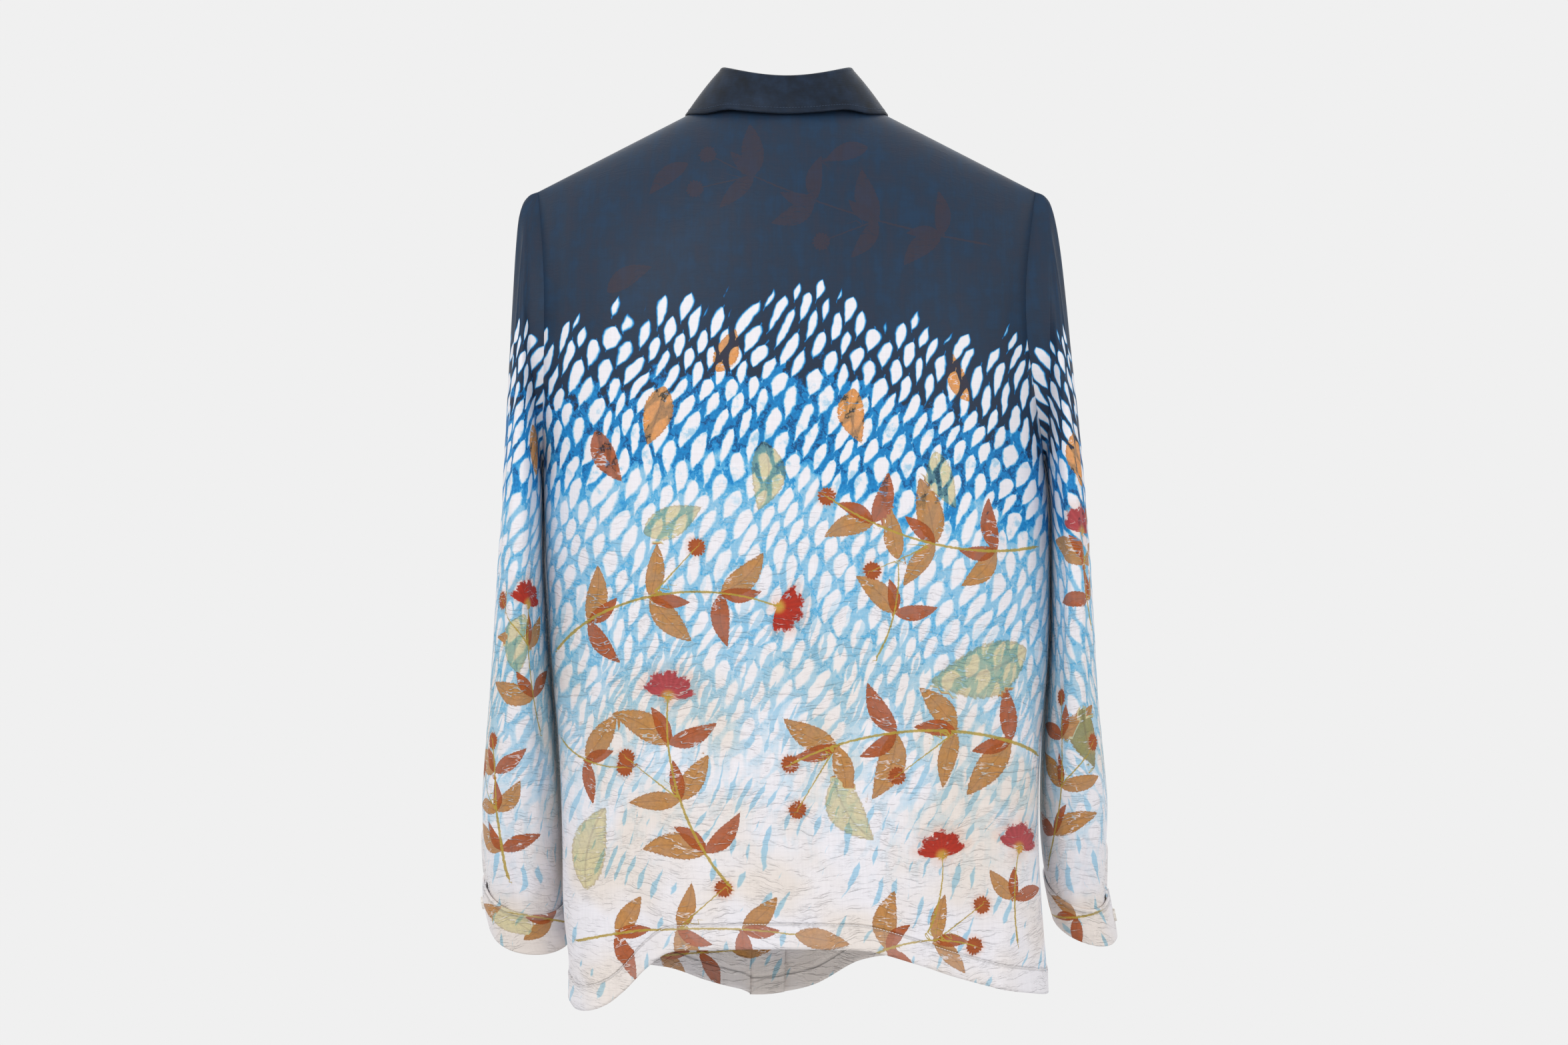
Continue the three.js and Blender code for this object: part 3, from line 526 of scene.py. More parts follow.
def from_edge(grid, row):
    """Distance over the cloth from an end row, which is 0 or -1, along each column."""
    down = np.cumsum(np.pad(steps_between(grid, 0), ((1, 0), (0, 0))), axis=0)
    return np.abs(down - down[row])


def raised_band(grid, flip, row, width, height, pucker=0.0, pitch=8.0):
    """Lifts a turned or double edge, and puckers the cloth along its stitch line."""
    gap = from_edge(grid, row)
    across = np.cumsum(np.pad(steps_between(grid, 1), ((0, 0), (1, 0))), axis=1)
    step = height * smooth((width + 1.2 - gap) / 2.4)
    near = np.exp(-(((gap - width) / 5.0) ** 2))
    wander = across + 2.5 * np.sin(across / 23.0)
    ripple = pucker * near * np.sin(2 * np.pi * wander / pitch)
    return grid + normals_of(grid, flip) * (step + ripple)[..., None]


def between_rings(rings, count):
    """Rings put in between others on smooth curves, with their own places."""
    rings = np.asarray(rings, float)
    last = len(rings) - 1
    at = np.linspace(0, last, count + 1)
    i = np.minimum(at.astype(int), last - 1)
    t = (at - i).reshape([-1] + [1] * (rings.ndim - 1))
    before, after = np.maximum(i - 1, 0), np.minimum(i + 2, last)
    a, b = rings[i], rings[i + 1]
    slope_a, slope_b = (b - rings[before]) / 2, (rings[after] - a) / 2
    t2, t3 = t * t, t * t * t
    return (
        (2 * t3 - 3 * t2 + 1) * a
        + (t3 - 2 * t2 + t) * slope_a
        + (3 * t2 - 2 * t3) * b
        + (t3 - t2) * slope_b
    )


def ring_points(side, row, angle, grow):
    powered = lambda value: np.sign(value) * np.abs(value) ** (2 / row["square"])
    out, around = powered(np.cos(angle)), powered(np.sin(angle))
    half = (row["out_x"] - row["in_x"]) / 2 + grow
    depth = np.where(around > 0, row["back"], row["front"]) + grow
    x = (row["out_x"] + row["in_x"]) / 2 + half * out
    y = row["mid"] - depth * around
    rise = (row["out_z"] - row["in_z"]) / 2
    z = (row["out_z"] + row["in_z"]) / 2 + rise * out + row["fall"] * (y - row["mid"])
    return np.stack([side * x, y, z], -1)


def armhole_points(side, place):
    """The armhole seam at places from 0 at the shoulder, round the back, to RING_POINTS."""
    half_way = RING_POINTS / 2
    row = np.where(place <= half_way, place, RING_POINTS - place)
    z = SHOULDER_Z + (UNDERARM_Z - SHOULDER_Z) * (1 - np.cos(np.pi * row / half_way)) / 2
    middle, half = section(z)
    x = middle + side * half
    back, front = body_point("back", x, z), body_point("front", x, z)
    points = np.where((place <= half_way)[:, None], back, front)
    points[:, 1] *= smooth(np.minimum(row, half_way - row) / 0.4)
    # The seam is tucked just under the edge of the body's cloth.
    points[:, 0] -= side * SEAM_TUCK
    points[:, 1] -= np.sign(points[:, 1]) * SEAM_TUCK * smooth(np.abs(points[:, 1]) / 5)
    points[:, 2] -= SEAM_TUCK * (1 - smooth(row / 3)) - SEAM_TUCK * smooth((row - 11) / 3)
    return points


def sleeve_fold_at(angle, ring):
    total = np.zeros_like(angle)
    for i in range(len(SLEEVE_FOLDS["angle"])):
        f = {name: column[i] for name, column in SLEEVE_FOLDS.items()}
        turn = np.arctan2(np.sin(angle - f["angle"]), np.cos(angle - f["angle"]))
        ends = smooth((ring - f["start"]) / 2) * smooth((f["end"] - ring) / 2 + 0.5)
        total = total + f["depth"] * np.exp(-((turn / f["width"]) ** 2)) * ends
    return total


def sleeve_creases_at(angle, ring):
    total = np.zeros(np.broadcast(angle, ring).shape)
    for i in range(len(SLEEVE_CREASES["angle"])):
        c = {name: column[i] for name, column in SLEEVE_CREASES.items()}
        centre = c["angle"] + c["lean"] * (ring - c["ring"])
        turn = np.arctan2(np.sin(angle - centre), np.cos(angle - centre))
        along = (ring - c["ring"]) / c["length"]
        total = total + c["depth"] * np.exp(-((turn / c["width"]) ** 2) - along**2)
    return total


def sleeve_grid(name, around, along):
    """Points of a sleeve from the armhole to the cuff, round from the inner edge by the back."""
    side = -1 if name == "left" else 1
    rows = SLEEVE_ROWS[name]
    place = (np.linspace(0, RING_POINTS, around + 1)[:-1] + RING_POINTS / 2) % RING_POINTS
    angle = 2 * np.pi * place / RING_POINTS
    seam = armhole_points(side, place)
    rings = [seam]
    for k in range(len(rows["mid"])):
        row = {key: column[k] for key, column in rows.items()}
        free = ring_points(side, row, angle, sleeve_fold_at(angle, k + 1))
        hold = 1 - smooth((k + 1) / HEAD_RINGS)
        held = seam.copy()
        held[:, 0] += (free[:, 0] - seam[:, 0]) * HEAD_OUT
        held[:, 2] += (free[:, 2] - seam[:, 2]) * HEAD_DOWN
        rings.append(free + (held - free) * hold)
    # The end goes on inside the cuff.
    inside = {key: column[1] for key, column in CUFF_ROWS[name].items()}
    rings.append(ring_points(side, inside, angle, -CUFF_TUCK))
    fine = between_rings(rings, along)
    ring = np.linspace(0, len(rings) - 1, along + 1)[:, None]
    centre = fine.mean(axis=1, keepdims=True)
    outward = fine - centre
    outward[..., 2] = 0
    outward /= np.maximum(np.linalg.norm(outward, axis=-1, keepdims=True), 1e-6)
    # The bound slit stands a little proud at the outer side, just above the cuff.
    turn = np.arctan2(np.sin(angle), np.cos(angle))
    above = fine[..., 2] - rings[-2][:, 2]
    slit = smooth(
        (SLIT_TURN - np.abs(turn)) / 0.04
    ) * smooth(above / 4) * smooth((SLIT_HEIGHT - above) / 5)
    lifted = sleeve_creases_at(angle[None, :], ring) + SLIT_LIFT * slit
    return fine + outward * lifted[..., None]


def sleeve_map(grid, side, rows):
    """The map of a sleeve: round from the outer edge, to the back as plus, and height."""
    across, y, z = side * grid[..., 0], grid[..., 1], grid[..., 2]
    out_x, in_x = read(rows, "out_z", z, "out_x"), read(rows, "in_z", z, "in_x")
    middle = read(rows, "out_z", z, "mid")
    depth = np.where(y < middle, read(rows, "out_z", z, "back"), read(rows, "out_z", z, "front"))
    share = np.clip(np.abs(y - middle) / depth, 0, 1)
    outside = np.clip((2 * across - out_x - in_x) / (0.35 * (out_x - in_x)), -1, 1)
    around = out_x - across + SLEEVE_DEPTH_SHARE * depth * (1 - (1 - share) * outside)
    columns = np.arange(grid.shape[1])
    return np.stack([np.where(2 * columns < grid.shape[1] - 1, -around, around), z], -1)


def cuff_grid(name, around, along):
    side = -1 if name == "left" else 1
    rows = CUFF_ROWS[name]
    first = CUFF_START - CUFF_LAP
    angle = first + (2 * np.pi + CUFF_LAP) * np.linspace(0, 1, around + 1)
    over = smooth(1 - (angle - first) / (2 * CUFF_LAP))
    grow = CUFF_SWELL + CUFF_LIFT * over
    rings = []
    for k in range(len(rows["mid"])):
        row = {key: column[k] for key, column in rows.items()}
        rings.append(ring_points(side, row, angle, grow))
    return between_rings(rings, along)


def back_panel(spacing):
    """The back's fine grid and its map."""
    sides = [(s, 0, 1) for s in (-1, -NECK_SHARE, 0, NECK_SHARE, 1)]
    columns = even_columns("back", sides, spacing)
    grid = panel_grid("back", columns, round(PANEL_ABOVE / spacing), round(PANEL_BELOW / spacing))
    grid = raised_band(grid, False, -1, BACK_HEM_BAND, 0.9, 0.6)
    return grid, cloth_map(grid, int(np.abs(columns[:, 0]).argmin()), BODY_DEPTH_SHARE)


def front_panel(side, spacing):
    """A front's fine grid and its map. The wearer's right front laps over the left."""
    edge = CLOSING_HALF * -side
    share = side * NECK_SHARE
    anchors = [
        (share, edge, 0), (share, -edge, 0), (share, -edge + side, 0), (share, 0, 1), (side, 0, 1)
    ]
    columns = even_columns("front", anchors, spacing)
    grid = panel_grid("front", columns, round(PANEL_ABOVE / spacing), round(PANEL_BELOW / spacing))
    if side > 0:
        x, z = grid[..., 0], grid[..., 2]
        grid = grid + front_normal(x, z) * lap_lift(x, z)[..., None]
    grid = raised_band(grid, side > 0, -1, FRONT_HEM_BAND, 0.8, 0.5)
    uv = cloth_map(grid, 0, BODY_DEPTH_SHARE)
    uv[..., 0] = uv[..., 0] * side - side * CLOSING_HALF
    return grid, uv


# ---------------------------------------------------------------- collar
def collar_angle(step):
    past = np.maximum(0, np.abs(step) - 9)
    to_seam = np.minimum(np.abs(step), 9) / 9
    return np.sign(step) * (to_seam * np.pi / 2 + past * (np.pi / 2 - FALL_END) / 9)


def outward(angle):
    return np.stack([np.sin(angle), -np.cos(angle), np.zeros_like(angle)], -1)


def lap_share(angle):
    past = NECK_HALF * np.sin(np.pi - angle)
    share = smooth((LAP_TO - past) / (LAP_TO - LAP_FROM))
    return np.where(angle < np.pi / 2, 0, share)


def stand_foot(angle, raised):
    point = neck_point(angle)
    point[..., 2] += 3 * SEAM_GAP
    normal = front_normal(point[..., 0], point[..., 2])
    return point + normal * np.where(raised > 0, raised, 0)[..., None]


def stand_top(angle, raised):
    top = stand_foot(angle, raised) - outward(angle) * STAND_LEAN
    top[..., 2] += STAND_RISE
    return top


def stand_grid(around, along):
    angle = collar_angle(np.linspace(-20, 20, around + 1))
    raised = LAP_LIFT * lap_share(angle)
    foot, top = stand_foot(angle, raised), stand_top(angle, raised)
    share = np.linspace(0, 1, along + 1)[:, None, None]
    return foot + (top - foot) * share


def fall_grid(around, roll_rows, edge_rows):
    step = np.linspace(-18, 18, around + 1)
    reach = np.pi - FALL_END
    place = collar_angle(step)
    edge_angle = np.abs(place) / reach * np.pi
    roll = between_rings(np.stack([ROLL["out"], ROLL["up"]], -1), roll_rows)
    rows = []
    for r in range(roll_rows + edge_rows + 1):
        run = max(0, r - roll_rows) / edge_rows
        angle = place * (1 - FALL_SPREAD * run / reach)
        point = stand_top(angle, (LAP_LIFT + SEAM_GAP) * lap_share(np.abs(angle)))
        out, up = roll[min(r, roll_rows)]
        fall_out = read(FALL_EDGE, "angle", edge_angle, "out") - roll[-1][0]
        drop = read(FALL_EDGE, "angle", edge_angle, "drop") + roll[-1][1]
        bow = math.sin(math.pi * run) * FALL_BOW
        point = point + outward(angle) * (out + fall_out * run + bow)[:, None]
        point[:, 2] += up - drop * run
        rows.append(point)
    grid = np.array(rows)
    # Over the shoulders the edge lies on the body.
    edge = grid[-1]
    rest = body_height("back", edge[:, 0], np.maximum(-edge[:, 1], 0.2)) + FALL_REST
    near = smooth((np.abs(place) - 0.8) / 0.6) * smooth((2.4 - np.abs(place)) / 0.5)
    runs = np.clip((np.arange(len(rows)) - roll_rows) / edge_rows, 0, 1)[:, None]
    grid[..., 2] += runs**1.5 * (near * np.clip(rest - edge[:, 2], -6, 6))[None, :]
    return grid


# ---------------------------------------------------------------- meshes
def grid_object(name, grid, cloth_uv, closed=False, flip=False, layers=None):
    """A mesh over a grid of points in millimetres, with the map named cloth in metres."""
    rows, cols = grid.shape[:2]
    spans = cols if closed else cols - 1
    r, c = np.meshgrid(np.arange(rows - 1), np.arange(spans), indexing="ij")
    r, c = r.ravel(), c.ravel()
    corners = [(r, c), (r + 1, c), (r + 1, c + 1), (r, c + 1)]
    if flip:
        corners = corners[::-1]
    faces = np.stack([row * cols + col % cols for row, col in corners], -1)
    mesh = bpy.data.meshes.new(name)
    mesh.from_pydata((grid.reshape(-1, 3) * MM).tolist(), [], faces.tolist())
    uv = mesh.uv_layers.new(name="cloth")
    values = np.stack([cloth_uv[row, col] for row, col in corners], 1) * MM
    uv.data.foreach_set("uv", values.astype(np.float32).ravel())
    for key, layer in (layers or {}).items():
        attribute = mesh.attributes.new(key, "FLOAT_COLOR", "CORNER")
        values = np.stack([layer[row, col] for row, col in corners], 1)
        attribute.data.foreach_set("color", values.astype(np.float32).ravel())
    mesh.polygons.foreach_set("use_smooth", [True] * len(mesh.polygons))
    mesh.update()
    obj = bpy.data.objects.new(name, mesh)
    bpy.context.collection.objects.link(obj)
    return obj


def apply_modifiers(obj):
    bpy.ops.object.select_all(action="DESELECT")
    obj.select_set(True)
    bpy.context.view_layer.objects.active = obj
    for modifier in list(obj.modifiers):
        bpy.ops.object.modifier_apply(modifier=modifier.name)


def make_sheet(obj, nodes, thickness, material):
    """Gives a sheet its thickness and material, attaches it to the root, and hides the solids it stands
    for.
    """
    solid = obj.modifiers.new("thickness", "SOLIDIFY")
    solid.thickness = thickness * MM
    solid.offset = -1
    apply_modifiers(obj)
    obj.data.materials.append(material)
    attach(obj, "root")
    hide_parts(*nodes)
    return obj


# ---------------------------------------------------------------- stitching
def line_beside(grid, flip, row, width):
    """Points and outward directions on a surface, a set distance in from an end row."""
    order = slice(None, None, -1 if row else 1)
    gap, points, out = (a[order] for a in (from_edge(grid, row), grid, normals_of(grid, flip)))
    columns = np.arange(grid.shape[1])
    at = np.clip((gap < width).sum(axis=0), 1, len(gap) - 1)
    low, high = gap[at - 1, columns], gap[at, columns]
    share = ((width - low) / np.maximum(high - low, 1e-6))[:, None]
    return [a[at - 1, columns] * (1 - share) + a[at, columns] * share for a in (points, out)]


def stitch_rods(points, out):
    """Rings of short rods along a line on cloth, sunk in at both ends."""
    spine = table(
        "along thick lift",
        (0, 0.4, -0.6),
        (0.12, 0.9, 0.1),
        (0.5, 1, 0.5),
        (0.88, 0.9, 0.1),
        (1, 0.4, -0.6),
    )
    turn = np.linspace(0, 2 * np.pi, THREAD_SIDES + 1)[:-1]
    arc = np.concatenate([[0], np.cumsum(steps_between(points, 0))])
    starts = np.arange(STITCH_PITCH / 2, arc[-1] - STITCH_PITCH, STITCH_PITCH)
    at = starts[:, None] + spine["along"] * STITCH_SHARE * STITCH_PITCH
    place, normal = (
        np.stack([np.interp(at, arc, a[:, i]) for i in range(3)], -1) for a in (points, out)
    )
    side = np.cross(normal, np.gradient(place, axis=1))
    side /= np.linalg.norm(side, axis=-1, keepdims=True)
    place = place + normal * (THREAD_RADIUS * spine["lift"])[:, None]
    ring = side[:, :, None] * np.cos(turn)[:, None] + normal[:, :, None] * np.sin(turn)[:, None]
    return place[:, :, None] + ring * (THREAD_RADIUS * spine["thick"])[:, None, None]


def stitch_object(name, lines, material):
    """All stitches along some lines, joined in one mesh."""
    rods = np.concatenate([stitch_rods(points, out) for points, out in lines])
    number = np.arange(rods[..., 0].size).reshape(rods.shape[:3])
    a, b = number[:, :-1], number[:, 1:]
    walls = np.stack([a, np.roll(a, -1, 2), np.roll(b, -1, 2), b], -1).reshape(-1, 4)
    ends = np.concatenate([number[:, 0, ::-1], number[:, -1]])
    mesh = bpy.data.meshes.new(name)
    mesh.from_pydata((rods.reshape(-1, 3) * MM).tolist(), [], walls.tolist() + ends.tolist())
    mesh.polygons.foreach_set("use_smooth", [True] * len(mesh.polygons))
    mesh.materials.append(material)
    obj = bpy.data.objects.new(name, mesh)
    bpy.context.collection.objects.link(obj)
    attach(obj, "root")
    return obj


# ---------------------------------------------------------------- buttons
def button_shape(shell, thread):
    """One shell button, facing up, with a dished face, four holes and a crossed thread."""
    bpy.ops.object.select_all(action="DESELECT")
    radius, thick = BUTTON_RADIUS * MM, BUTTON_THICKNESS * MM
    bpy.ops.mesh.primitive_cylinder_add(vertices=64, radius=radius, depth=thick)
    button = bpy.context.object
    button.data.materials.append(shell)
    bpy.ops.object.mode_set(mode="EDIT")
    bpy.ops.mesh.select_all(action="DESELECT")
    mesh = bmesh.from_edit_mesh(button.data)
    for face in mesh.faces:
        face.select_set(face.normal.z > 0.9)
    bmesh.update_edit_mesh(button.data)
    bpy.ops.mesh.inset(thickness=BUTTON_RIM * MM)
    bpy.ops.mesh.inset(thickness=BUTTON_DISH * MM)
    bpy.ops.transform.translate(value=(0, 0, -BUTTON_DISH * MM))
    bpy.ops.object.mode_set(mode="OBJECT")
    bevel = button.modifiers.new("edges", "BEVEL")
    bevel.width, bevel.segments, bevel.angle_limit = 0.35 * MM, 3, math.radians(30)
    drills = []
    for x in (-1, 1):
        for y in (-1, 1):
            place = (x * HOLE_SPACING * MM, y * HOLE_SPACING * MM, 0)
            bpy.ops.mesh.primitive_cylinder_add(
                vertices=20, radius=HOLE_RADIUS * MM, depth=3 * thick, location=place
            )
            drills.append(bpy.context.object)
    for drill in drills:
        holes = button.modifiers.new("hole", "BOOLEAN")
        holes.object = drill
    apply_modifiers(button)
    for drill in drills:
        bpy.data.objects.remove(drill)
    parts = [button]
    for turn in (math.pi / 4, -math.pi / 4):
        place = (0, 0, thick / 2 - (BUTTON_DISH - 0.15) * MM)
        length = 2 * math.sqrt(2) * HOLE_SPACING * MM
        bpy.ops.mesh.primitive_cylinder_add(
            vertices=12, radius=0.32 * MM, depth=length, location=place, rotation=(math.pi / 2, 0, turn)
        )
        bar = bpy.context.object
        bar.data.materials.append(thread)
        parts.append(bar)
    bpy.ops.object.select_all(action="DESELECT")
    for part in parts:
        part.select_set(True)
    bpy.context.view_layer.objects.active = button
    bpy.ops.object.transform_apply(location=True, rotation=True, scale=True)
    bpy.ops.object.join()
    bpy.ops.object.shade_smooth_by_angle(angle=math.radians(35))
    return button


def button_frame(node):
    """Where a button's solid sits: its middle and its own axes, the last facing outwards."""
    points = np.unique(
        np.round([vertex.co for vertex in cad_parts[node].data.vertices], 6), axis=0
    )
    facing = np.linalg.eigh(np.cov(points.T))[1][:, 0]
    middle = (points.min(axis=0) + points.max(axis=0)) / 2
    facing = facing * np.sign(facing[:2] @ middle[:2])
    side = np.cross((0, 0, 1), facing)
    side /= np.linalg.norm(side)
    axes = np.stack([side, np.cross(facing, side), facing], 1)
    local = points @ axes
    centre = axes @ ((local.min(axis=0) + local.max(axis=0)) / 2)
    place = Matrix(
        [[float(v) for v in row] + [float(c)] for row, c in zip(axes, centre)] + [[0, 0, 0, 1]]
    )
    return place


# ---------------------------------------------------------------- the print
# The numbers that stand for the plants' tones in the corner attributes.
TONES = {"rust": 0.1, "brown": 0.3, "beige": 0.5, "olive": 0.7, "red": 0.9, "rose": 1.1, "orange": 1.3}


def leaf_outline(share):
    """Half width of a leaf along its length, as a share of its greatest half width."""
    return np.sin(np.pi * np.clip(share, 0, 1) ** 0.78) ** 0.85


def leaf_layer(uv, leaves):
    """For each place: how far along and across its nearest leaf, how far inside, and tone."""
    u, v = uv[..., 0], uv[..., 1]
    out = np.zeros(u.shape + (4,))
    out[..., 2] = -20.0
    for x, z, degrees, length, width, tone in leaves:
        turn = math.radians(degrees)
        along = ((u - x) * math.cos(turn) + (v - z) * math.sin(turn)) / length
        across = (-(u - x) * math.sin(turn) + (v - z) * math.cos(turn)) / (length * width)
        bend = 0.9 * math.sin(0.7 * x + 0.3 * z)
        across = across - bend * along * (1 - along)
        past = np.maximum(np.maximum(-along, along - 1), 0) * length
        inside = (leaf_outline(along) / 2 - np.abs(across)) * length * width - past
        nearer = inside > out[..., 2]
        values = np.stack([along, across, inside, np.full_like(u, TONES[tone])], -1)
        out = np.where(nearer[..., None], values, out)
    return out


def bloom_layer(uv, blooms):
    """For each place: place from the foot of its nearest flower, how far inside it, and tone."""
    u, v = uv[..., 0], uv[..., 1]
    out = np.zeros(u.shape + (4,))
    out[..., 2] = -20.0
    for x, z, radius, degrees, tone in blooms:
        inside = radius - np.hypot(u - x, v - z)
        turn = math.radians(degrees - 90)
        across = ((u - x) * math.cos(turn) + (v - z) * math.sin(turn)) / radius
        up = (-(u - x) * math.sin(turn) + (v - z) * math.cos(turn)) / radius
        nearer = inside > out[..., 2]
        values = np.stack([across, up, inside, np.full_like(u, TONES[tone])], -1)
        out = np.where(nearer[..., None], values, out)
    return out


def curve_through(points, step=2.0):
    points = np.array(points, float)
    fine = between_rings(points, 12 * (len(points) - 1))
    arc = np.concatenate([[0], np.cumsum(np.linalg.norm(np.diff(fine, axis=0), axis=1))])
    at = np.linspace(0, arc[-1], max(2, int(arc[-1] / step)))
    return np.stack([np.interp(at, arc, fine[:, i]) for i in (0, 1)], -1)


def stem_layer(uv, stems):
    """For each place: signed distance over the nearest stem, plain distance and thickness."""
    flat = uv.reshape(-1, 2)
    out = np.zeros((len(flat), 4))
    out[:, 0:2] = 20.0
    for points, width in stems:
        line = curve_through(points)
        a, b = line[:-1], line[1:]
        low, high = line.min(0) - 20, line.max(0) + 20
        near = np.where(((flat > low) & (flat < high)).all(1))[0]
        direction = b - a
        length2 = (direction**2).sum(1)
        for part in np.array_split(near, max(1, len(near) // 4000)):
            if len(part) == 0:
                continue
            offset = flat[part, None] - a[None]
            t = np.clip((offset * direction).sum(-1) / length2, 0, 1)
            gap = offset - direction * t[..., None]
            distance = np.linalg.norm(gap, axis=-1)
            best = distance.argmin(1)
            rows = np.arange(len(part))
            plain = distance[rows, best]
            d, g = direction[best], gap[rows, best]
            side = np.sign(d[:, 0] * g[:, 1] - d[:, 1] * g[:, 0])
            taper = width * (1 - 0.45 * (best + t[rows, best]) / len(a))
            nearer = plain < out[part, 1]
            values = np.stack([side * plain, plain, taper, np.ones_like(plain)], -1)
            out[part] = np.where(nearer[:, None], values, out[part])
    return out.reshape(uv.shape[:-1] + (4,))


# Sprays of each piece: foot, heading in degrees, length, how far the stem turns, thickness,
# pairs of leaves, length of a leaf, and what the tip ends in.
SPRAYS = {
    "back": [
        (206, -384, 186, 190, -44, 2.6, 3, 50, "rust"),
        (-214, -470, 38, 210, -62, 2.6, 3, 50, "red"),
        (64, -474, 62, 84, 34, 1.8, 1, 42, "leaf"),
        (214, -560, 158, 230, 52, 3.0, 4, 54, "rust"),
        (-60, -664, 128, 168, -46, 2.6, 3, 50, "rose"),
        (-214, -548, -34, 70, 40, 2.0, 1, 42, "rust"),
        (104, -704, 62, 66, 34, 1.8, 0, 40, "red"),
        (186, -716, 96, 78, -20, 1.8, 1, 40, "rose"),
        (-196, -716, 14, 190, -24, 2.4, 3, 46, "leaf"),
        (40, -730, 30, 110, -52, 2.2, 2, 44, "rust"),
        (170, -128, 172, 250, -22, 2.0, 4, 44, "rust"),
    ],
    "front": [
        (-186, -450, 12, 130, -26, 2.2, 3, 44, "red"),
        (196, -520, 160, 160, 34, 2.2, 3, 46, "rust"),
        (-176, -590, -24, 140, 30, 2.4, 3, 46, "rust"),
        (204, -690, 146, 150, 30, 2.2, 3, 46, "rose"),
        (-164, -742, -8, 130, 14, 2.2, 3, 42, "leaf"),
    ],
    "sleeve_left": [
        (50, -668, 84, 120, 22, 2.6, 3, 42, "rust"),
        (98, -540, 112, 110, -34, 2.2, 2, 42, "red"),
        (-40, -610, 100, 150, 30, 2.2, 3, 42, "red"),
    ],
    "sleeve_right": [
        (94, -660, 104, 150, -24, 2.6, 3, 44, "rust"),
        (46, -450, 72, 80, 24, 2.0, 2, 42, "rose"),
        (-50, -600, 96, 150, 26, 2.2, 3, 42, "red"),
    ],
    "cuff_left": [(110, -718, 158, 70, 16, 2.2, 1, 34, "leaf")],
    "cuff_right": [(30, -700, -12, 80, 22, 2.2, 2, 34, "leaf")],
}
# Loose leaves: foot, direction, length, width as a share of it, and tone.
LOOSE_LEAVES = {
    "back": [
        (196, -470, 196, 92, 0.5, "beige"),
        (-186, -672, 74, 74, 0.5, "beige"),
        (28, -574, -58, 62, 0.5, "beige"),
        (-128, -372, 24, 54, 0.5, "beige"),
        (-24, -296, -98, 58, 0.5, "beige"),
        (118, -304, -72, 50, 0.46, "beige"),
        (-166, -286, -64, 48, 0.46, "rust"),
        (-104, -250, -110, 52, 0.48, "orange"),
        (-60, -238, 64, 40, 0.5, "orange"),
        (52, -252, -84, 46, 0.5, "orange"),
        (150, -262, 106, 42, 0.42, "orange"),
        (-150, -170, 28, 44, 0.4, "brown"),
        (-84, -60, -140, 42, 0.38, "rust"),
        (70, -46, 200, 40, 0.4, "rust"),
    ],
    "front": [
        (-100, -280, -60, 60, 0.5, "beige"),
        (96, -288, -110, 56, 0.5, "orange"),
        (-60, -250, 70, 42, 0.5, "orange"),
        (120, -600, -40, 66, 0.5, "beige"),
        (-130, -160, 20, 44, 0.4, "brown"),
    ],
    "sleeve_left": [
        (78, -440, -96, 52, 0.5, "beige"),
        (84, -280, -74, 46, 0.5, "orange"),
        (-58, -300, -70, 46, 0.5, "orange"),
    ],
    "sleeve_right": [
        (62, -520, -104, 54, 0.52, "olive"),
        (52, -286, -96, 48, 0.5, "orange"),
        (-68, -290, -80, 50, 0.5, "orange"),
    ],
    "cuff_left": [(24, -702, -24, 46, 0.5, "beige")],
    "cuff_right": [(128, -712, 24, 52, 0.5, "olive")],
}
HEAD_SIZE = {"red": 25, "rose": 26, "rust": 9}


def plants(name):
    """The stems, two layers of leaves, and flowers that print one piece."""
    stems, leaves, over, heads = [], list(LOOSE_LEAVES[name]), [], []
    share = np.linspace(0, 1, 9)
    for x, z, heading, length, bend, width, pairs, leaf, tip in SPRAYS[name]:
        way = np.radians(heading + bend * share[:-1])
        run = np.cumsum(np.stack([np.cos(way), np.sin(way)], -1), axis=0) * length / 8
        points = np.concatenate([[(0, 0)], run]) + (x, z)
        stems.append((points, width))
        for i in range(pairs):
            at, side = (i + 0.7) / (pairs + 0.5), (-1) ** i
            foot = tuple(float(np.interp(at, share, points[:, k])) for k in (0, 1))
            turn, swing = heading + bend * at, math.sin(3.1 * i + 0.1 * z)
            leaves.append(
                (*foot, turn + side * (54 + 14 * swing), leaf * (1 + 0.2 * swing), 0.42, "brown")
            )
            leaves.append(
                (*foot, turn - side * (74 - 10 * swing), leaf * 0.9, 0.36, ("rust", "brown")[i % 2])
            )
            over.append((*foot, turn + side * (14 + 20 * swing), leaf * 0.68, 0.38, "rust"))
            if i % 2:
                way = math.radians(turn - side * 38)
                twig = [
                    (
                        foot[0] + math.cos(way) * reach, foot[1] + math.sin(way) * reach
                    ) for reach in (0, leaf * 0.6, leaf * 1.15)
                ]
                stems.append((twig, 1.5))
                heads.append((*twig[-1], HEAD_SIZE["rust"], 90, "rust"))
        end = tuple(float(value) for value in points[-1])
        if tip == "leaf":
            leaves.append((*end, heading + bend, leaf, 0.4, "brown"))
        else:
            heads.append((*end, HEAD_SIZE[tip], heading + bend, tip))
    return stems, leaves, over, heads


def dye_layer(grid):
    """How far each point lies above the edges of the four dyed bands, in millimetres."""
    x, z = grid[..., 0], grid[..., 2]
    return np.stack(
        [z - read(DYE_BACK, "x", x, key) for key in ("cells", "navy", "bright", "pale")], -1
    )


def seam_layer(grid, row, width):
    """Distance of each point from a stitch line, above it as plus, in millimetres."""
    return (from_edge(grid, row) - width)[..., None] * (1, 0, 0, 0) + (0, 0, 0, 1)


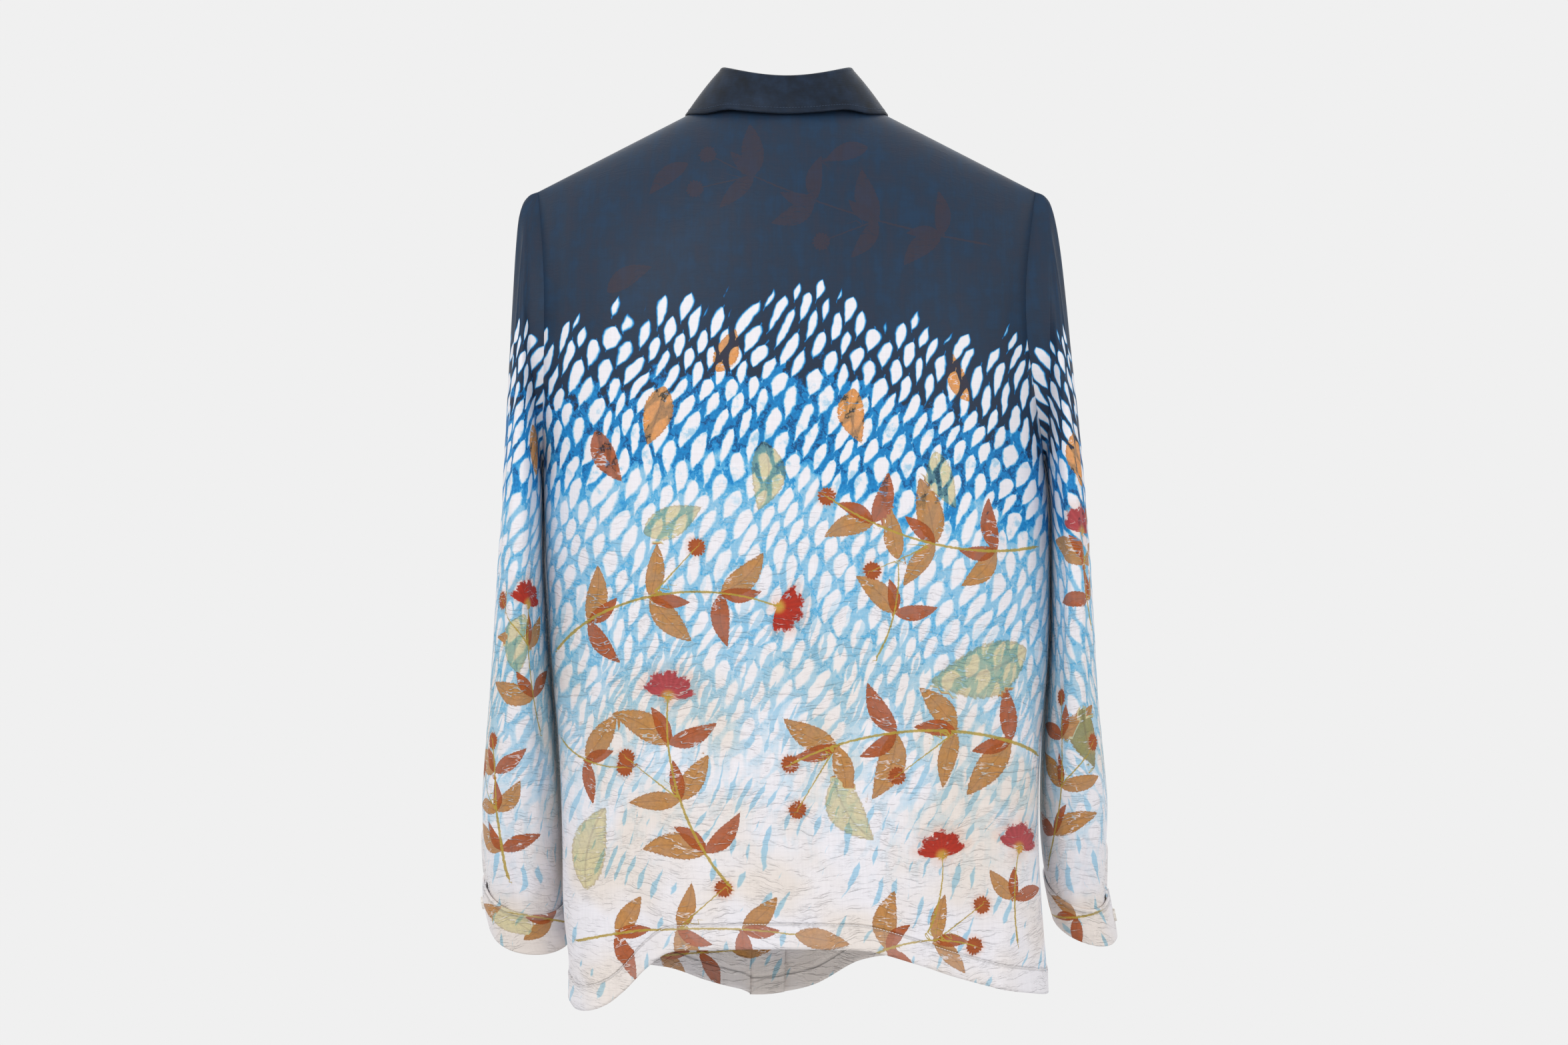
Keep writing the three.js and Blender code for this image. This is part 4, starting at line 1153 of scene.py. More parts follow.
def print_layers(name, grid, uv, row=-1, width=0.0):
    stems, leaves, over, heads = plants(name)
    return {
        "dye": dye_layer(grid),
        "seam": seam_layer(grid, row, width),
        "leaf": leaf_layer(uv, leaves),
        "leaf_over": leaf_layer(uv, over),
        "bloom": bloom_layer(uv, heads),
        "stem": stem_layer(uv, stems),
    }


def closed_layers(grid):
    """Repeats a closed grid's first column at its end, for its map and its print."""
    return np.concatenate([grid, grid[:, :1]], axis=1)


# ---------------------------------------------------------------- materials
MATH, VECTOR, RANGE, MIX = (
    "ShaderNodeMath",
    "ShaderNodeVectorMath",
    "ShaderNodeMapRange",
    "ShaderNodeMix",
)
NOISE, RAMP, ATTRIBUTE = "ShaderNodeTexNoise", "ShaderNodeValToRGB", "ShaderNodeAttribute"
SPLIT, GREY = "ShaderNodeSeparateColor", "ShaderNodeCombineColor"
# Settings that many nodes share.
LAYER = {"out": "Color", "attribute_type": "GEOMETRY"}
SMOOTH = {"interpolation_type": "SMOOTHSTEP"}
OVER = {"out": 2, "data_type": "RGBA"}


def linear(value):
    """A colour as Blender's sockets take it, from its sRGB hex value."""
    channels = [int(value[i : i + 2], 16) / 255 for i in (1, 3, 5)]
    return tuple(c / 12.92 if c <= 0.04045 else ((c + 0.055) / 1.055) ** 2.4 for c in channels) + (1.0,)


def add(tree, kind, inputs=(), out=0, stops=None, **settings):
    """Adds a node with its settings, values and links, and gives one of its outputs."""
    node = tree.nodes.new(kind)
    for key, value in settings.items():
        setattr(node, key, value)
    if stops:
        ramp = node.color_ramp
        while len(ramp.elements) < len(stops):
            ramp.elements.new(0.5)
        for element, (place, colour) in zip(ramp.elements, stops):
            element.position = place
            element.color = linear(colour)
    pairs = inputs.items() if isinstance(inputs, dict) else enumerate(inputs)
    for key, value in pairs:
        if isinstance(value, bpy.types.NodeSocket):
            tree.links.new(value, node.inputs[key])
        elif value is not None:
            node.inputs[key].default_value = value
    return node.outputs[out] if len(node.outputs) else node


def new_material(name):
    material = bpy.data.materials.new(name)
    material.use_nodes = True
    tree = material.node_tree
    tree.nodes.clear()
    return material, tree


def cells_of_net(tree, place, warp):
    """How far inside its bound cell each place is, in millimetres, and a chance for each cell."""
    det = CELL_STEP_A[0] * CELL_STEP_B[1] - CELL_STEP_B[0] * CELL_STEP_A[1]
    along_a = (CELL_STEP_B[1] / det, -CELL_STEP_B[0] / det, 0)
    along_b = (-CELL_STEP_A[1] / det, CELL_STEP_A[0] / det, 0)
    moved = add(tree, VECTOR, [place, warp], operation="ADD")
    number, part = [], []
    for axis in (along_a, along_b):
        at = add(tree, VECTOR, [moved, axis], out="Value", operation="DOT_PRODUCT")
        nearest = add(tree, MATH, [at], operation="ROUND")
        number.append(nearest)
        part.append(add(tree, MATH, [at, nearest], operation="SUBTRACT"))
    cell = add(tree, "ShaderNodeCombineXYZ", [number[0], number[1], 0.0])
    chance = add(tree, "ShaderNodeTexWhiteNoise", [cell], out="Color", noise_dimensions="2D")
    chances = add(tree, SPLIT, [chance]).node
    first = add(tree, VECTOR, {0: (*CELL_STEP_A, 0), "Scale": part[0]}, operation="SCALE")
    second = add(tree, VECTOR, {0: (*CELL_STEP_B, 0), "Scale": part[1]}, operation="SCALE")
    offset = add(tree, VECTOR, [first, second], operation="ADD")
    shake = add(tree, VECTOR, [chance, (0.5, 0.5, 0.5)], operation="SUBTRACT")
    shake = add(tree, VECTOR, {0: shake, "Scale": 2.4}, operation="SCALE")
    offset = add(tree, VECTOR, [offset, shake], operation="ADD")
    length = add(tree, VECTOR, [offset, LONG_AXIS], out="Value", operation="DOT_PRODUCT")
    width = add(tree, VECTOR, [offset, WIDE_AXIS], out="Value", operation="DOT_PRODUCT")
    share = add(tree, MATH, [length, CELL_HALF_LENGTH], operation="DIVIDE")
    square = add(tree, MATH, [share, share], operation="MULTIPLY")
    round_part = add(
        tree,
        MATH,
        [
            add(
                tree,
                MATH,
                [add(tree, MATH, [1.0, square], operation="SUBTRACT"), 0.0],
                operation="MAXIMUM",
            ),
            0.75,
        ],
        operation="POWER",
    )
    lean = add(tree, MATH, [share, 0.3, 1.0], operation="MULTIPLY_ADD")
    size = add(tree, MATH, [chances.outputs[1], 0.4, 0.78], operation="MULTIPLY_ADD")
    half = add(
        tree,
        MATH,
        [
            add(tree, MATH, [round_part, lean], operation="MULTIPLY"),
            add(tree, MATH, [size, CELL_HALF_WIDTH], operation="MULTIPLY"),
        ],
        operation="MULTIPLY",
    )
    inside = add(
        tree, MATH, [half, add(tree, MATH, [width], operation="ABSOLUTE")], operation="SUBTRACT"
    )
    return inside, chances.outputs[0]


def leaf_mask(tree, layer, edge_noise):
    """How much of a leaf covers each place, its veins, and its tone."""
    data = add(tree, ATTRIBUTE, attribute_name=layer, **LAYER)
    tone = data.node.outputs["Alpha"]
    along, across, inside = add(tree, SPLIT, [data]).node.outputs
    share = add(tree, MATH, [add(tree, RANGE, [along, 0.0, 1.0, 0.0, 1.0]), 0.78], operation="POWER")
    outline = add(
        tree,
        MATH,
        [
            add(
                tree, MATH, [add(tree, MATH, [share, math.pi], operation="MULTIPLY")], operation="SINE"
            ),
            0.85,
        ],
        operation="POWER",
    )
    side = add(tree, MATH, [across], operation="ABSOLUTE")
    teeth = add(
        tree,
        MATH,
        [
            add(tree, MATH, [add(tree, MATH, [along, 13.0], operation="MULTIPLY")], operation="FRACT"),
            -0.035,
        ],
        operation="MULTIPLY",
    )
    ragged = add(
        tree,
        MATH,
        [edge_noise, 0.08, add(tree, MATH, [teeth, -0.02], operation="ADD")],
        operation="MULTIPLY_ADD",
    )
    depth = add(
        tree,
        MATH,
        [
            add(
                tree,
                MATH,
                [add(tree, MATH, [outline, 0.5], operation="MULTIPLY"), side],
                operation="SUBTRACT",
            ),
            ragged,
        ],
        operation="ADD",
    )
    mask = add(tree, RANGE, [depth, 0.0, 0.035], **SMOOTH)
    near = add(tree, RANGE, [inside, -4.0, -2.0], **SMOOTH)
    mask = add(tree, MATH, [mask, near], operation="MULTIPLY")
    middle = add(tree, RANGE, [side, 0.04, 0.012], **SMOOTH)
    slanted = add(
        tree,
        MATH,
        [side, -5.0, add(tree, MATH, [along, 8.0], operation="MULTIPLY")],
        operation="MULTIPLY_ADD",
    )
    wave = add(
        tree,
        MATH,
        [add(tree, MATH, [add(tree, MATH, [slanted], operation="FRACT"), 0.5], operation="SUBTRACT")],
        operation="ABSOLUTE",
    )
    veins = add(
        tree, MATH, [add(tree, RANGE, [wave, 0.07, 0.02], **SMOOTH), 0.55], operation="MULTIPLY"
    )
    veins = add(tree, MATH, [middle, veins], operation="MAXIMUM")
    rim = add(tree, RANGE, [depth, 0.1, 0.02], **SMOOTH)
    return mask, veins, rim, tone


def tone_colour(tree, tone):
    """The colour that a plant part of each tone leaves in silk."""
    share = add(tree, MATH, [tone, 1.4], operation="DIVIDE")
    stops = [
        (0.0, "#a9521f"),
        (0.143, "#b9803f"),
        (0.286, "#d0c490"),
        (0.43, "#8f8a55"),
        (0.572, "#b42a12"),
        (0.715, "#b2454a"),
        (0.858, "#dd9348"),
    ]
    node = add(tree, RAMP, [add(tree, MATH, [share, 0.005], operation="ADD")], stops=stops)
    node.node.color_ramp.interpolation = "CONSTANT"
    return node


def printed_silk(name):
    """Silk satin, bound over a core, dyed in indigo and steamed with leaves: the dye runs
    from navy to white through a net of almond cells, and the plants leave tints with veins."""
    material, tree = new_material(name)
    place = add(tree, "ShaderNodeUVMap", uv_map="cloth")
    place = add(tree, VECTOR, {0: place, "Scale": 1 / MM}, operation="SCALE")
    dye = add(tree, ATTRIBUTE, attribute_name="dye", **LAYER)
    pale = dye.node.outputs["Alpha"]
    cells, navy, bright = add(tree, SPLIT, [dye]).node.outputs

    broad = add(
        tree,
        NOISE,
        {"Vector": place, "Scale": 0.014, "Detail": 0.5},
        out="Color",
        noise_dimensions="2D",
    )
    fine = add(
        tree, NOISE, {"Vector": place, "Scale": 0.09, "Detail": 1.0}, out="Color", noise_dimensions="2D"
    )
    broad_step = add(tree, VECTOR, [broad, (0.5, 0.5, 0.5)], operation="SUBTRACT")
    fine_step = add(tree, VECTOR, [fine, (0.5, 0.5, 0.5)], operation="SUBTRACT")
    warp = add(
        tree,
        VECTOR,
        [
            add(tree, VECTOR, {0: broad_step, "Scale": 24.0}, operation="SCALE"),
            add(tree, VECTOR, {0: fine_step, "Scale": 3.0}, operation="SCALE"),
        ],
        operation="ADD",
    )
    inside, chance = cells_of_net(tree, place, warp)
    blot = add(
        tree,
        NOISE,
        {"Vector": place, "Scale": 0.05, "Detail": 5.0, "Roughness": 0.62},
        noise_dimensions="2D",
    )
    grain = add(
        tree,
        NOISE,
        {"Vector": place, "Scale": 0.35, "Detail": 4.0, "Roughness": 0.6},
        noise_dimensions="2D",
    )
    grain_step = add(tree, MATH, [grain, 0.5], operation="SUBTRACT")
    blot_step = add(tree, MATH, [blot, 0.5], operation="SUBTRACT")

    # Cells shrink to dots and end above their own edge.
    edge = add(
        tree,
        MATH,
        [add(tree, MATH, [chance, 0.35], operation="SUBTRACT"), 26.0, cells],
        operation="MULTIPLY_ADD",
    )
    closing = add(tree, RANGE, [edge, -10.0, 10.0], **SMOOTH)
    opened = add(
        tree,
        MATH,
        [inside, add(tree, MATH, [closing, 7.0], operation="MULTIPLY")],
        operation="SUBTRACT",
    )

    # Strength of the dye in the net between the cells, from band to band.
    ragged = add(tree, MATH, [blot_step, 95.0, navy], operation="MULTIPLY_ADD")
    in_navy = add(tree, RANGE, [ragged, -9.0, 9.0], **SMOOTH)
    opened = add(
        tree,
        MATH,
        [grain_step, add(tree, MATH, [in_navy, -1.6, 2.2], operation="MULTIPLY_ADD"), opened],
        operation="MULTIPLY_ADD",
    )
    bright_edge = add(tree, MATH, [blot_step, 130.0, bright], operation="MULTIPLY_ADD")
    in_bright = add(tree, RANGE, [bright_edge, -28.0, 22.0], **SMOOTH)
    in_pale = add(
        tree,
        RANGE,
        [add(tree, MATH, [blot_step, 160.0, pale], operation="MULTIPLY_ADD"), -190.0, 60.0],
        **SMOOTH,
    )
    strength = add(tree, MATH, [in_pale, 0.25], operation="MULTIPLY")
    strength = add(tree, MATH, [in_bright, 0.3, strength], operation="MULTIPLY_ADD")
    strength = add(tree, MATH, [in_navy, 0.5, strength], operation="MULTIPLY_ADD")
    mottle = add(tree, MATH, [grain_step, 0.55, 1.0], operation="MULTIPLY_ADD")
    veined = add(
        tree,
        MATH,
        [
            add(tree, RANGE, [add(tree, MATH, [blot_step], operation="ABSOLUTE"), 0.05, 0.0], **SMOOTH),
            0.35,
            mottle,
        ],
        operation="MULTIPLY_ADD",
    )
    softer = add(tree, MATH, [veined, strength], operation="MULTIPLY")
    strength = add(tree, MIX, {0: in_navy, 2: softer, 3: strength}, data_type="FLOAT")

    # The dye creeps under the binding, so a cell has a soft bright edge in the navy.
    low = add(tree, MATH, [in_navy, -0.3, -1.3], operation="MULTIPLY_ADD")
    high = add(tree, MATH, [in_navy, 0.4, 1.2], operation="MULTIPLY_ADD")
    open_share = add(tree, RANGE, [opened, low, high], **SMOOTH)
    blocked = add(tree, MATH, [1.0, open_share], operation="SUBTRACT")
    filled = add(
        tree,
        MATH,
        [
            add(tree, RANGE, [blot, 0.56, 0.7], **SMOOTH),
            add(tree, MATH, [in_bright, 0.35], operation="MULTIPLY"),
        ],
        operation="MULTIPLY",
    )
    filled = add(
        tree,
        MATH,
        [filled, add(tree, MATH, [1.0, in_navy], operation="SUBTRACT")],
        operation="MULTIPLY",
    )
    depth = add(
        tree,
        MATH,
        [strength, add(tree, MATH, [blocked, filled], operation="MAXIMUM")],
        operation="MULTIPLY",
    )
    # Lower down only broken streaks along the binding are left.
    slant = add(tree, VECTOR, [place, warp], operation="ADD")
    over = add(
        tree,
        MATH,
        [add(tree, VECTOR, [slant, WIDE_AXIS], out="Value", operation="DOT_PRODUCT"), STREAK_PITCH],
        operation="DIVIDE",
    )
    run = add(tree, VECTOR, [slant, LONG_AXIS], out="Value", operation="DOT_PRODUCT")
    line = add(
        tree,
        MATH,
        [add(tree, MATH, [add(tree, MATH, [over], operation="FRACT"), 0.5], operation="SUBTRACT")],
        operation="ABSOLUTE",
    )
    dash_place = add(
        tree,
        "ShaderNodeCombineXYZ",
        [
            add(tree, MATH, [over], operation="FLOOR"),
            add(tree, MATH, [run, 34.0], operation="DIVIDE"),
            0.0,
        ],
    )
    dash = add(tree, NOISE, {"Vector": dash_place, "Scale": 1.0, "Detail": 1.0}, noise_dimensions="2D")
    reach_down = add(tree, RANGE, [pale, -240.0, 40.0, 0.56, 0.36])
    wide = add(
        tree,
        MATH,
        [add(tree, MATH, [dash, reach_down], operation="SUBTRACT"), 1.5],
        operation="MULTIPLY",
    )
    wide = add(tree, MATH, [wide, 0.2], operation="MINIMUM")
    line = add(
        tree,
        MATH,
        [wide, add(tree, MATH, [grain_step, 0.1, line], operation="MULTIPLY_ADD")],
        operation="SUBTRACT",
    )
    streak = add(
        tree,
        MATH,
        [
            add(tree, RANGE, [line, -0.03, 0.06], **SMOOTH),
            add(tree, RANGE, [bright, -60.0, -150.0], **SMOOTH),
        ],
        operation="MULTIPLY",
    )
    depth = add(
        tree, MATH, [depth, add(tree, MATH, [streak, 0.19], operation="MULTIPLY")], operation="MAXIMUM"
    )
    indigo = add(
        tree,
        RAMP,
        [depth],
        stops=[
            (0.0, "#fdfcfd"),
            (0.1, "#dcf0fa"),
            (0.22, "#a6d8f0"),
            (0.34, "#5cbbe9"),
            (0.5, "#1c93d6"),
            (0.66, "#1269a8"),
            (0.82, "#1c4368"),
            (1.0, "#263c53"),
        ],
    )
    # Full strength is uneven: bluer and greyer patches, finely streaked up and down.
    tall_place = add(tree, VECTOR, [place, (1.0, 0.12, 1.0)], operation="MULTIPLY")
    streaks = add(
        tree, NOISE, {"Vector": tall_place, "Scale": 0.12, "Detail": 3.0}, noise_dimensions="2D"
    )
    patches = add(
        tree,
        MATH,
        [streaks, 0.4, add(tree, MATH, [blot, 0.6], operation="MULTIPLY")],
        operation="MULTIPLY_ADD",
    )
    full = add(tree, RAMP, [patches], stops=[(0.36, "#203c57"), (0.5, "#24384e"), (0.64, "#2b374a")])
    indigo = add(
        tree, MIX, {0: add(tree, RANGE, [depth, 0.8, 0.98], **SMOOTH), 6: indigo, 7: full}, **OVER
    )

    # What the plants leave: leaves with veins and a dark rim, flowers, stems.
    stain = add(tree, NOISE, {"Vector": place, "Scale": 0.011, "Detail": 2.0}, noise_dimensions="2D")
    stain = add(
        tree,
        MATH,
        [
            add(tree, RANGE, [stain, 0.4, 0.65], **SMOOTH),
            add(tree, RANGE, [bright, -60.0, -240.0], **SMOOTH),
        ],
        operation="MULTIPLY",
    )
    eco = add(tree, MIX, {0: stain, 6: linear("#eeecf0"), 7: linear("#ebe2da")}, **OVER)
    ghost, hold = 0.0, 0.0
    crush_place = add(tree, VECTOR, [slant, (0.22, 1.0, 1.0)], operation="MULTIPLY")
    crush = add(
        tree,
        NOISE,
        {"Vector": crush_place, "Scale": 0.13, "Detail": 3.0, "Roughness": 0.55},
        noise_dimensions="2D",
    )
    ridge = add(tree, MATH, [add(tree, MATH, [crush, 0.5], operation="SUBTRACT")], operation="ABSOLUTE")
    crack = add(
        tree,
        MATH,
        [
            add(tree, RANGE, [ridge, 0.02, 0.005], **SMOOTH),
            add(tree, RANGE, [blot, 0.46, 0.56], **SMOOTH),
        ],
        operation="MULTIPLY",
    )
    for layer, opacity in (("leaf", 0.97), ("leaf_over", 0.98)):
        mask, veins, rim, tone = leaf_mask(tree, layer, grain)
        colour = tone_colour(tree, tone)
        sheer = add(tree, MATH, [tone, TONES["beige"], 0.05], operation="COMPARE")
        worn = add(
            tree,
            MATH,
            [add(tree, RANGE, [blot, 0.35, 0.6], **SMOOTH), 0.06, 0.94],
            operation="MULTIPLY_ADD",
        )
        worn = add(tree, MATH, [sheer, -0.15, worn], operation="MULTIPLY_ADD")
        amount = add(
            tree,
            MATH,
            [add(tree, MATH, [mask, opacity], operation="MULTIPLY"), worn],
            operation="MULTIPLY",
        )
        amount = add(
            tree,
            MATH,
            [amount, add(tree, MATH, [crack, -0.7, 1.0], operation="MULTIPLY_ADD")],
            operation="MULTIPLY",
        )
        hold = add(
            tree,
            MATH,
            [
                hold,
                add(
                    tree,
                    MATH,
                    [amount, add(tree, MATH, [sheer, -0.7, 0.9], operation="MULTIPLY_ADD")],
                    operation="MULTIPLY",
                ),
            ],
            operation="MAXIMUM",
        )
        clouded = add(
            tree,
            MATH,
            [add(tree, MATH, [grain, blot], operation="ADD"), 0.5, 0.5],
            operation="MULTIPLY_ADD",
        )
        colour = add(
            tree,
            MIX,
            {0: 1.0, 6: colour, 7: add(tree, GREY, [clouded] * 3)},
            **OVER,
            blend_type="MULTIPLY",
        )
        colour = add(
            tree,
            MIX,
            {0: add(tree, MATH, [rim, 0.35], operation="MULTIPLY"), 6: colour, 7: linear("#7a3c1a")},
            **OVER,
        )
        colour = add(
            tree,
            MIX,
            {0: add(tree, MATH, [veins, 0.3], operation="MULTIPLY"), 6: colour, 7: linear("#6e4424")},
            **OVER,
        )
        eco = add(tree, MIX, {0: amount, 6: eco, 7: colour}, **OVER)
        ghost = add(tree, MATH, [amount, ghost], operation="MAXIMUM")
    bloom = add(tree, ATTRIBUTE, attribute_name="bloom", **LAYER)
    bloom_tone = bloom.node.outputs["Alpha"]
    x, y, bloom_inside = add(tree, SPLIT, [bloom]).node.outputs
    reach = add(
        tree,
        MATH,
        [
            add(
                tree,
                MATH,
                [
                    add(tree, MATH, [x, x], operation="MULTIPLY"),
                    add(tree, MATH, [y, y], operation="MULTIPLY"),
                ],
                operation="ADD",
            )
        ],
        operation="SQRT",
    )
    turn = add(tree, MATH, [y, x], operation="ARCTAN2")
    # Red and rose ones are flowers seen from the side, five petals in a fan. The rest are round.
    flower = add(tree, MATH, [bloom_tone, 1.0, 0.15], operation="COMPARE")
    petals = add(
        tree,
        MATH,
        [
            add(
                tree,
                MATH,
                [add(tree, MATH, [turn, 4.5, -1.75 * math.pi], operation="MULTIPLY_ADD")],
                operation="SINE",
            )
        ],
        operation="ABSOLUTE",
    )
    petals = add(
        tree,
        MATH,
        [add(tree, MATH, [petals, 0.5], operation="POWER"), 0.17, 0.75],
        operation="MULTIPLY_ADD",
    )
    fan = add(
        tree,
        MATH,
        [add(tree, RANGE, [add(tree, MATH, [turn], operation="SINE"), -0.2, 0.3], **SMOOTH), 0.8, 0.2],
        operation="MULTIPLY_ADD",
    )
    fringe = add(
        tree,
        MATH,
        [add(tree, MATH, [add(tree, MATH, [turn, 8.0], operation="MULTIPLY")], operation="SINE")],
        operation="ABSOLUTE",
    )
    fringe = add(tree, MATH, [fringe, 0.16, 0.74], operation="MULTIPLY_ADD")
    outline = add(
        tree,
        MIX,
        {0: flower, 2: fringe, 3: add(tree, MATH, [petals, fan], operation="MULTIPLY")},
        data_type="FLOAT",
    )
    outline = add(tree, MATH, [grain_step, 0.4, outline], operation="MULTIPLY_ADD")
    mask = add(
        tree,
        MATH,
        [
            add(
                tree,
                RANGE,
                [add(tree, MATH, [outline, reach], operation="SUBTRACT"), 0.0, 0.1],
                **SMOOTH,
            ),
            add(tree, RANGE, [bloom_inside, -4.0, -2.0], **SMOOTH),
        ],
        operation="MULTIPLY",
    )
    spokes = add(
        tree,
        MATH,
        [add(tree, MATH, [add(tree, MATH, [turn, 10.5], operation="MULTIPLY")], operation="SINE")],
        operation="ABSOLUTE",
    )
    shade = add(
        tree, MATH, [add(tree, MATH, [spokes, 0.4], operation="MULTIPLY"), reach], operation="MULTIPLY"
    )
    colour = add(tree, MIX, {0: shade, 6: tone_colour(tree, bloom_tone), 7: linear("#5c1712")}, **OVER)
    heart = add(
        tree, MATH, [add(tree, RANGE, [reach, 0.32, 0.08], **SMOOTH), flower], operation="MULTIPLY"
    )
    colour = add(tree, MIX, {0: heart, 6: colour, 7: linear("#c8963c")}, **OVER)
    # Wet petals bleed a little into the silk round them.
    bleed = add(
        tree,
        MATH,
        [
            add(
                tree,
                RANGE,
                [add(tree, MATH, [outline, reach], operation="SUBTRACT"), -0.5, 0.1],
                **SMOOTH,
            ),
            0.3,
        ],
        operation="MULTIPLY",
    )
    bleed = add(
        tree,
        MATH,
        [bleed, add(tree, RANGE, [bloom_inside, -9.0, -3.0], **SMOOTH)],
        operation="MULTIPLY",
    )
    eco = add(tree, MIX, {0: bleed, 6: eco, 7: linear("#d99a72")}, **OVER)
    amount = add(
        tree,
        MATH,
        [mask, add(tree, MATH, [crack, -0.6, 0.99], operation="MULTIPLY_ADD")],
        operation="MULTIPLY",
    )
    eco = add(tree, MIX, {0: amount, 6: eco, 7: colour}, **OVER)
    ghost = add(tree, MATH, [amount, ghost], operation="MAXIMUM")
    hold = add(tree, MATH, [hold, amount], operation="MAXIMUM")
    stem = add(tree, ATTRIBUTE, attribute_name="stem", **LAYER)
    signed, plain, thickness = add(tree, SPLIT, [stem]).node.outputs
    away = add(
        tree,
        MATH,
        [add(tree, MATH, [grain_step, 1.8, signed], operation="MULTIPLY_ADD")],
        operation="ABSOLUTE",
    )
    stroke = add(
        tree,
        RANGE,
        [
            add(
                tree,
                MATH,
                [add(tree, MATH, [thickness, 0.5], operation="MULTIPLY"), away],
                operation="SUBTRACT",
            ),
            -0.25,
            0.35,
        ],
        **SMOOTH,
    )
    stroke = add(
        tree, MATH, [stroke, add(tree, RANGE, [plain, 7.0, 5.0], **SMOOTH)], operation="MULTIPLY"
    )
    amount = add(tree, MATH, [stroke, 0.92], operation="MULTIPLY")
    eco = add(tree, MIX, {0: amount, 6: eco, 7: linear("#b59a3e")}, **OVER)
    ghost = add(tree, MATH, [amount, ghost], operation="MAXIMUM")
    hold = add(
        tree, MATH, [hold, add(tree, MATH, [amount, 0.7], operation="MULTIPLY")], operation="MAXIMUM"
    )

    # Tannin from a plant holds back pale dye, and only a brown ghost is left in the navy.
    sunk = add(tree, RANGE, [depth, 0.7, 0.95], **SMOOTH)
    eco = add(
        tree,
        MIX,
        {0: add(tree, MATH, [sunk, 0.8], operation="MULTIPLY"), 6: eco, 7: linear("#eeecf0")},
        **OVER,
    )
    shallow = add(
        tree, MATH, [hold, add(tree, RANGE, [depth, 0.8, 0.4], **SMOOTH)], operation="MULTIPLY"
    )
    reaches = add(tree, MATH, [1.0, shallow], operation="SUBTRACT")
    dyed = add(tree, MIX, {0: reaches, 6: eco, 7: indigo}, **OVER, blend_type="MULTIPLY")
    deep = add(
        tree, MATH, [ghost, add(tree, RANGE, [depth, 0.6, 0.95], **SMOOTH)], operation="MULTIPLY"
    )
    dyed = add(
        tree,
        MIX,
        {0: add(tree, MATH, [deep, 0.32], operation="MULTIPLY"), 6: dyed, 7: linear("#4d3a40")},
        **OVER,
    )
    # Long threads of slightly uneven silk, drawn 1.6 mm wide so that they show.
    thread_place = add(tree, VECTOR, [place, (0.05, 1.0, 1.0)], operation="MULTIPLY")
    threads = add(
        tree, NOISE, {"Vector": thread_place, "Scale": 0.62, "Detail": 2.0}, noise_dimensions="2D"
    )
    warp_place = add(tree, VECTOR, [place, (1.0, 0.05, 1.0)], operation="MULTIPLY")
    warps = add(
        tree, NOISE, {"Vector": warp_place, "Scale": 0.62, "Detail": 2.0}, noise_dimensions="2D"
    )
    uneven = add(
        tree,
        MATH,
        [add(tree, MATH, [threads, warps], operation="ADD"), 0.1, 0.9],
        operation="MULTIPLY_ADD",
    )
    dyed = add(
        tree, MIX, {0: 1.0, 6: dyed, 7: add(tree, GREY, [uneven] * 3)}, **OVER, blend_type="MULTIPLY"
    )

    # A stitch line lies in a dip, which is bumped and also darkened with painted shade, and the turned
    # cloth below it is a little whiter.
    seam = add(tree, ATTRIBUTE, attribute_name="seam", **LAYER)
    seam = add(tree, SPLIT, [seam])
    dip = add(tree, RANGE, [add(tree, MATH, [seam], operation="ABSOLUTE"), 2.2, 0.0], **SMOOTH)
    # Painted shade: the colour in the stitch line's dip is darkened by up to 16 percent.
    shade = add(tree, MATH, [dip, -0.16, 1.0], operation="MULTIPLY_ADD")
    dyed = add(
        tree, MIX, {0: 1.0, 6: dyed, 7: add(tree, GREY, [shade] * 3)}, **OVER, blend_type="MULTIPLY"
    )
    dyed = add(
        tree,
        MIX,
        {
            0: add(
                tree, MATH, [add(tree, RANGE, [seam, 0.5, -0.5], **SMOOTH), 0.1], operation="MULTIPLY"
            ),
            6: dyed,
            7: linear("#f4f2f3"),
        },
        **OVER,
    )

    # Crushed wrinkles lie across the lower half, 3 to 6 mm apart.
    lower = add(tree, RANGE, [bright, 40.0, -120.0], **SMOOTH)
    crushed = add(
        tree,
        MATH,
        [
            add(tree, RANGE, [ridge, 0.09, 0.0], **SMOOTH),
            add(tree, MATH, [lower, 0.85, 0.1], operation="MULTIPLY_ADD"),
        ],
        operation="MULTIPLY",
    )
    patchy = add(
        tree,
        MATH,
        [add(tree, RANGE, [blot, 0.38, 0.6], **SMOOTH), 0.75, 0.25],
        operation="MULTIPLY_ADD",
    )
    crushed = add(tree, MATH, [crushed, patchy], operation="MULTIPLY")
    weave = add(
        tree,
        MATH,
        [
            add(tree, MATH, [threads, 0.05], operation="MULTIPLY"),
            add(tree, MATH, [warps, 0.05], operation="MULTIPLY"),
        ],
        operation="ADD",
    )
    height = add(
        tree,
        MATH,
        [crushed, 0.48, add(tree, MATH, [weave, 0.4], operation="MULTIPLY")],
        operation="MULTIPLY_ADD",
    )
    height = add(tree, MATH, [dip, -0.7, height], operation="MULTIPLY_ADD")
    bump = add(tree, "ShaderNodeBump", {"Strength": 1.0, "Distance": 0.0016, "Height": height})
    shader = add(
        tree,
        "ShaderNodeBsdfPrincipled",
        {
            "Base Color": dyed,
            "Roughness": 0.5,
            "Specular IOR Level": 0.24,
            "Sheen Weight": 0.04,
            "Sheen Roughness": 0.35,
            "Normal": bump,
        },
    )
    add(tree, "ShaderNodeOutputMaterial", [shader])
    return material


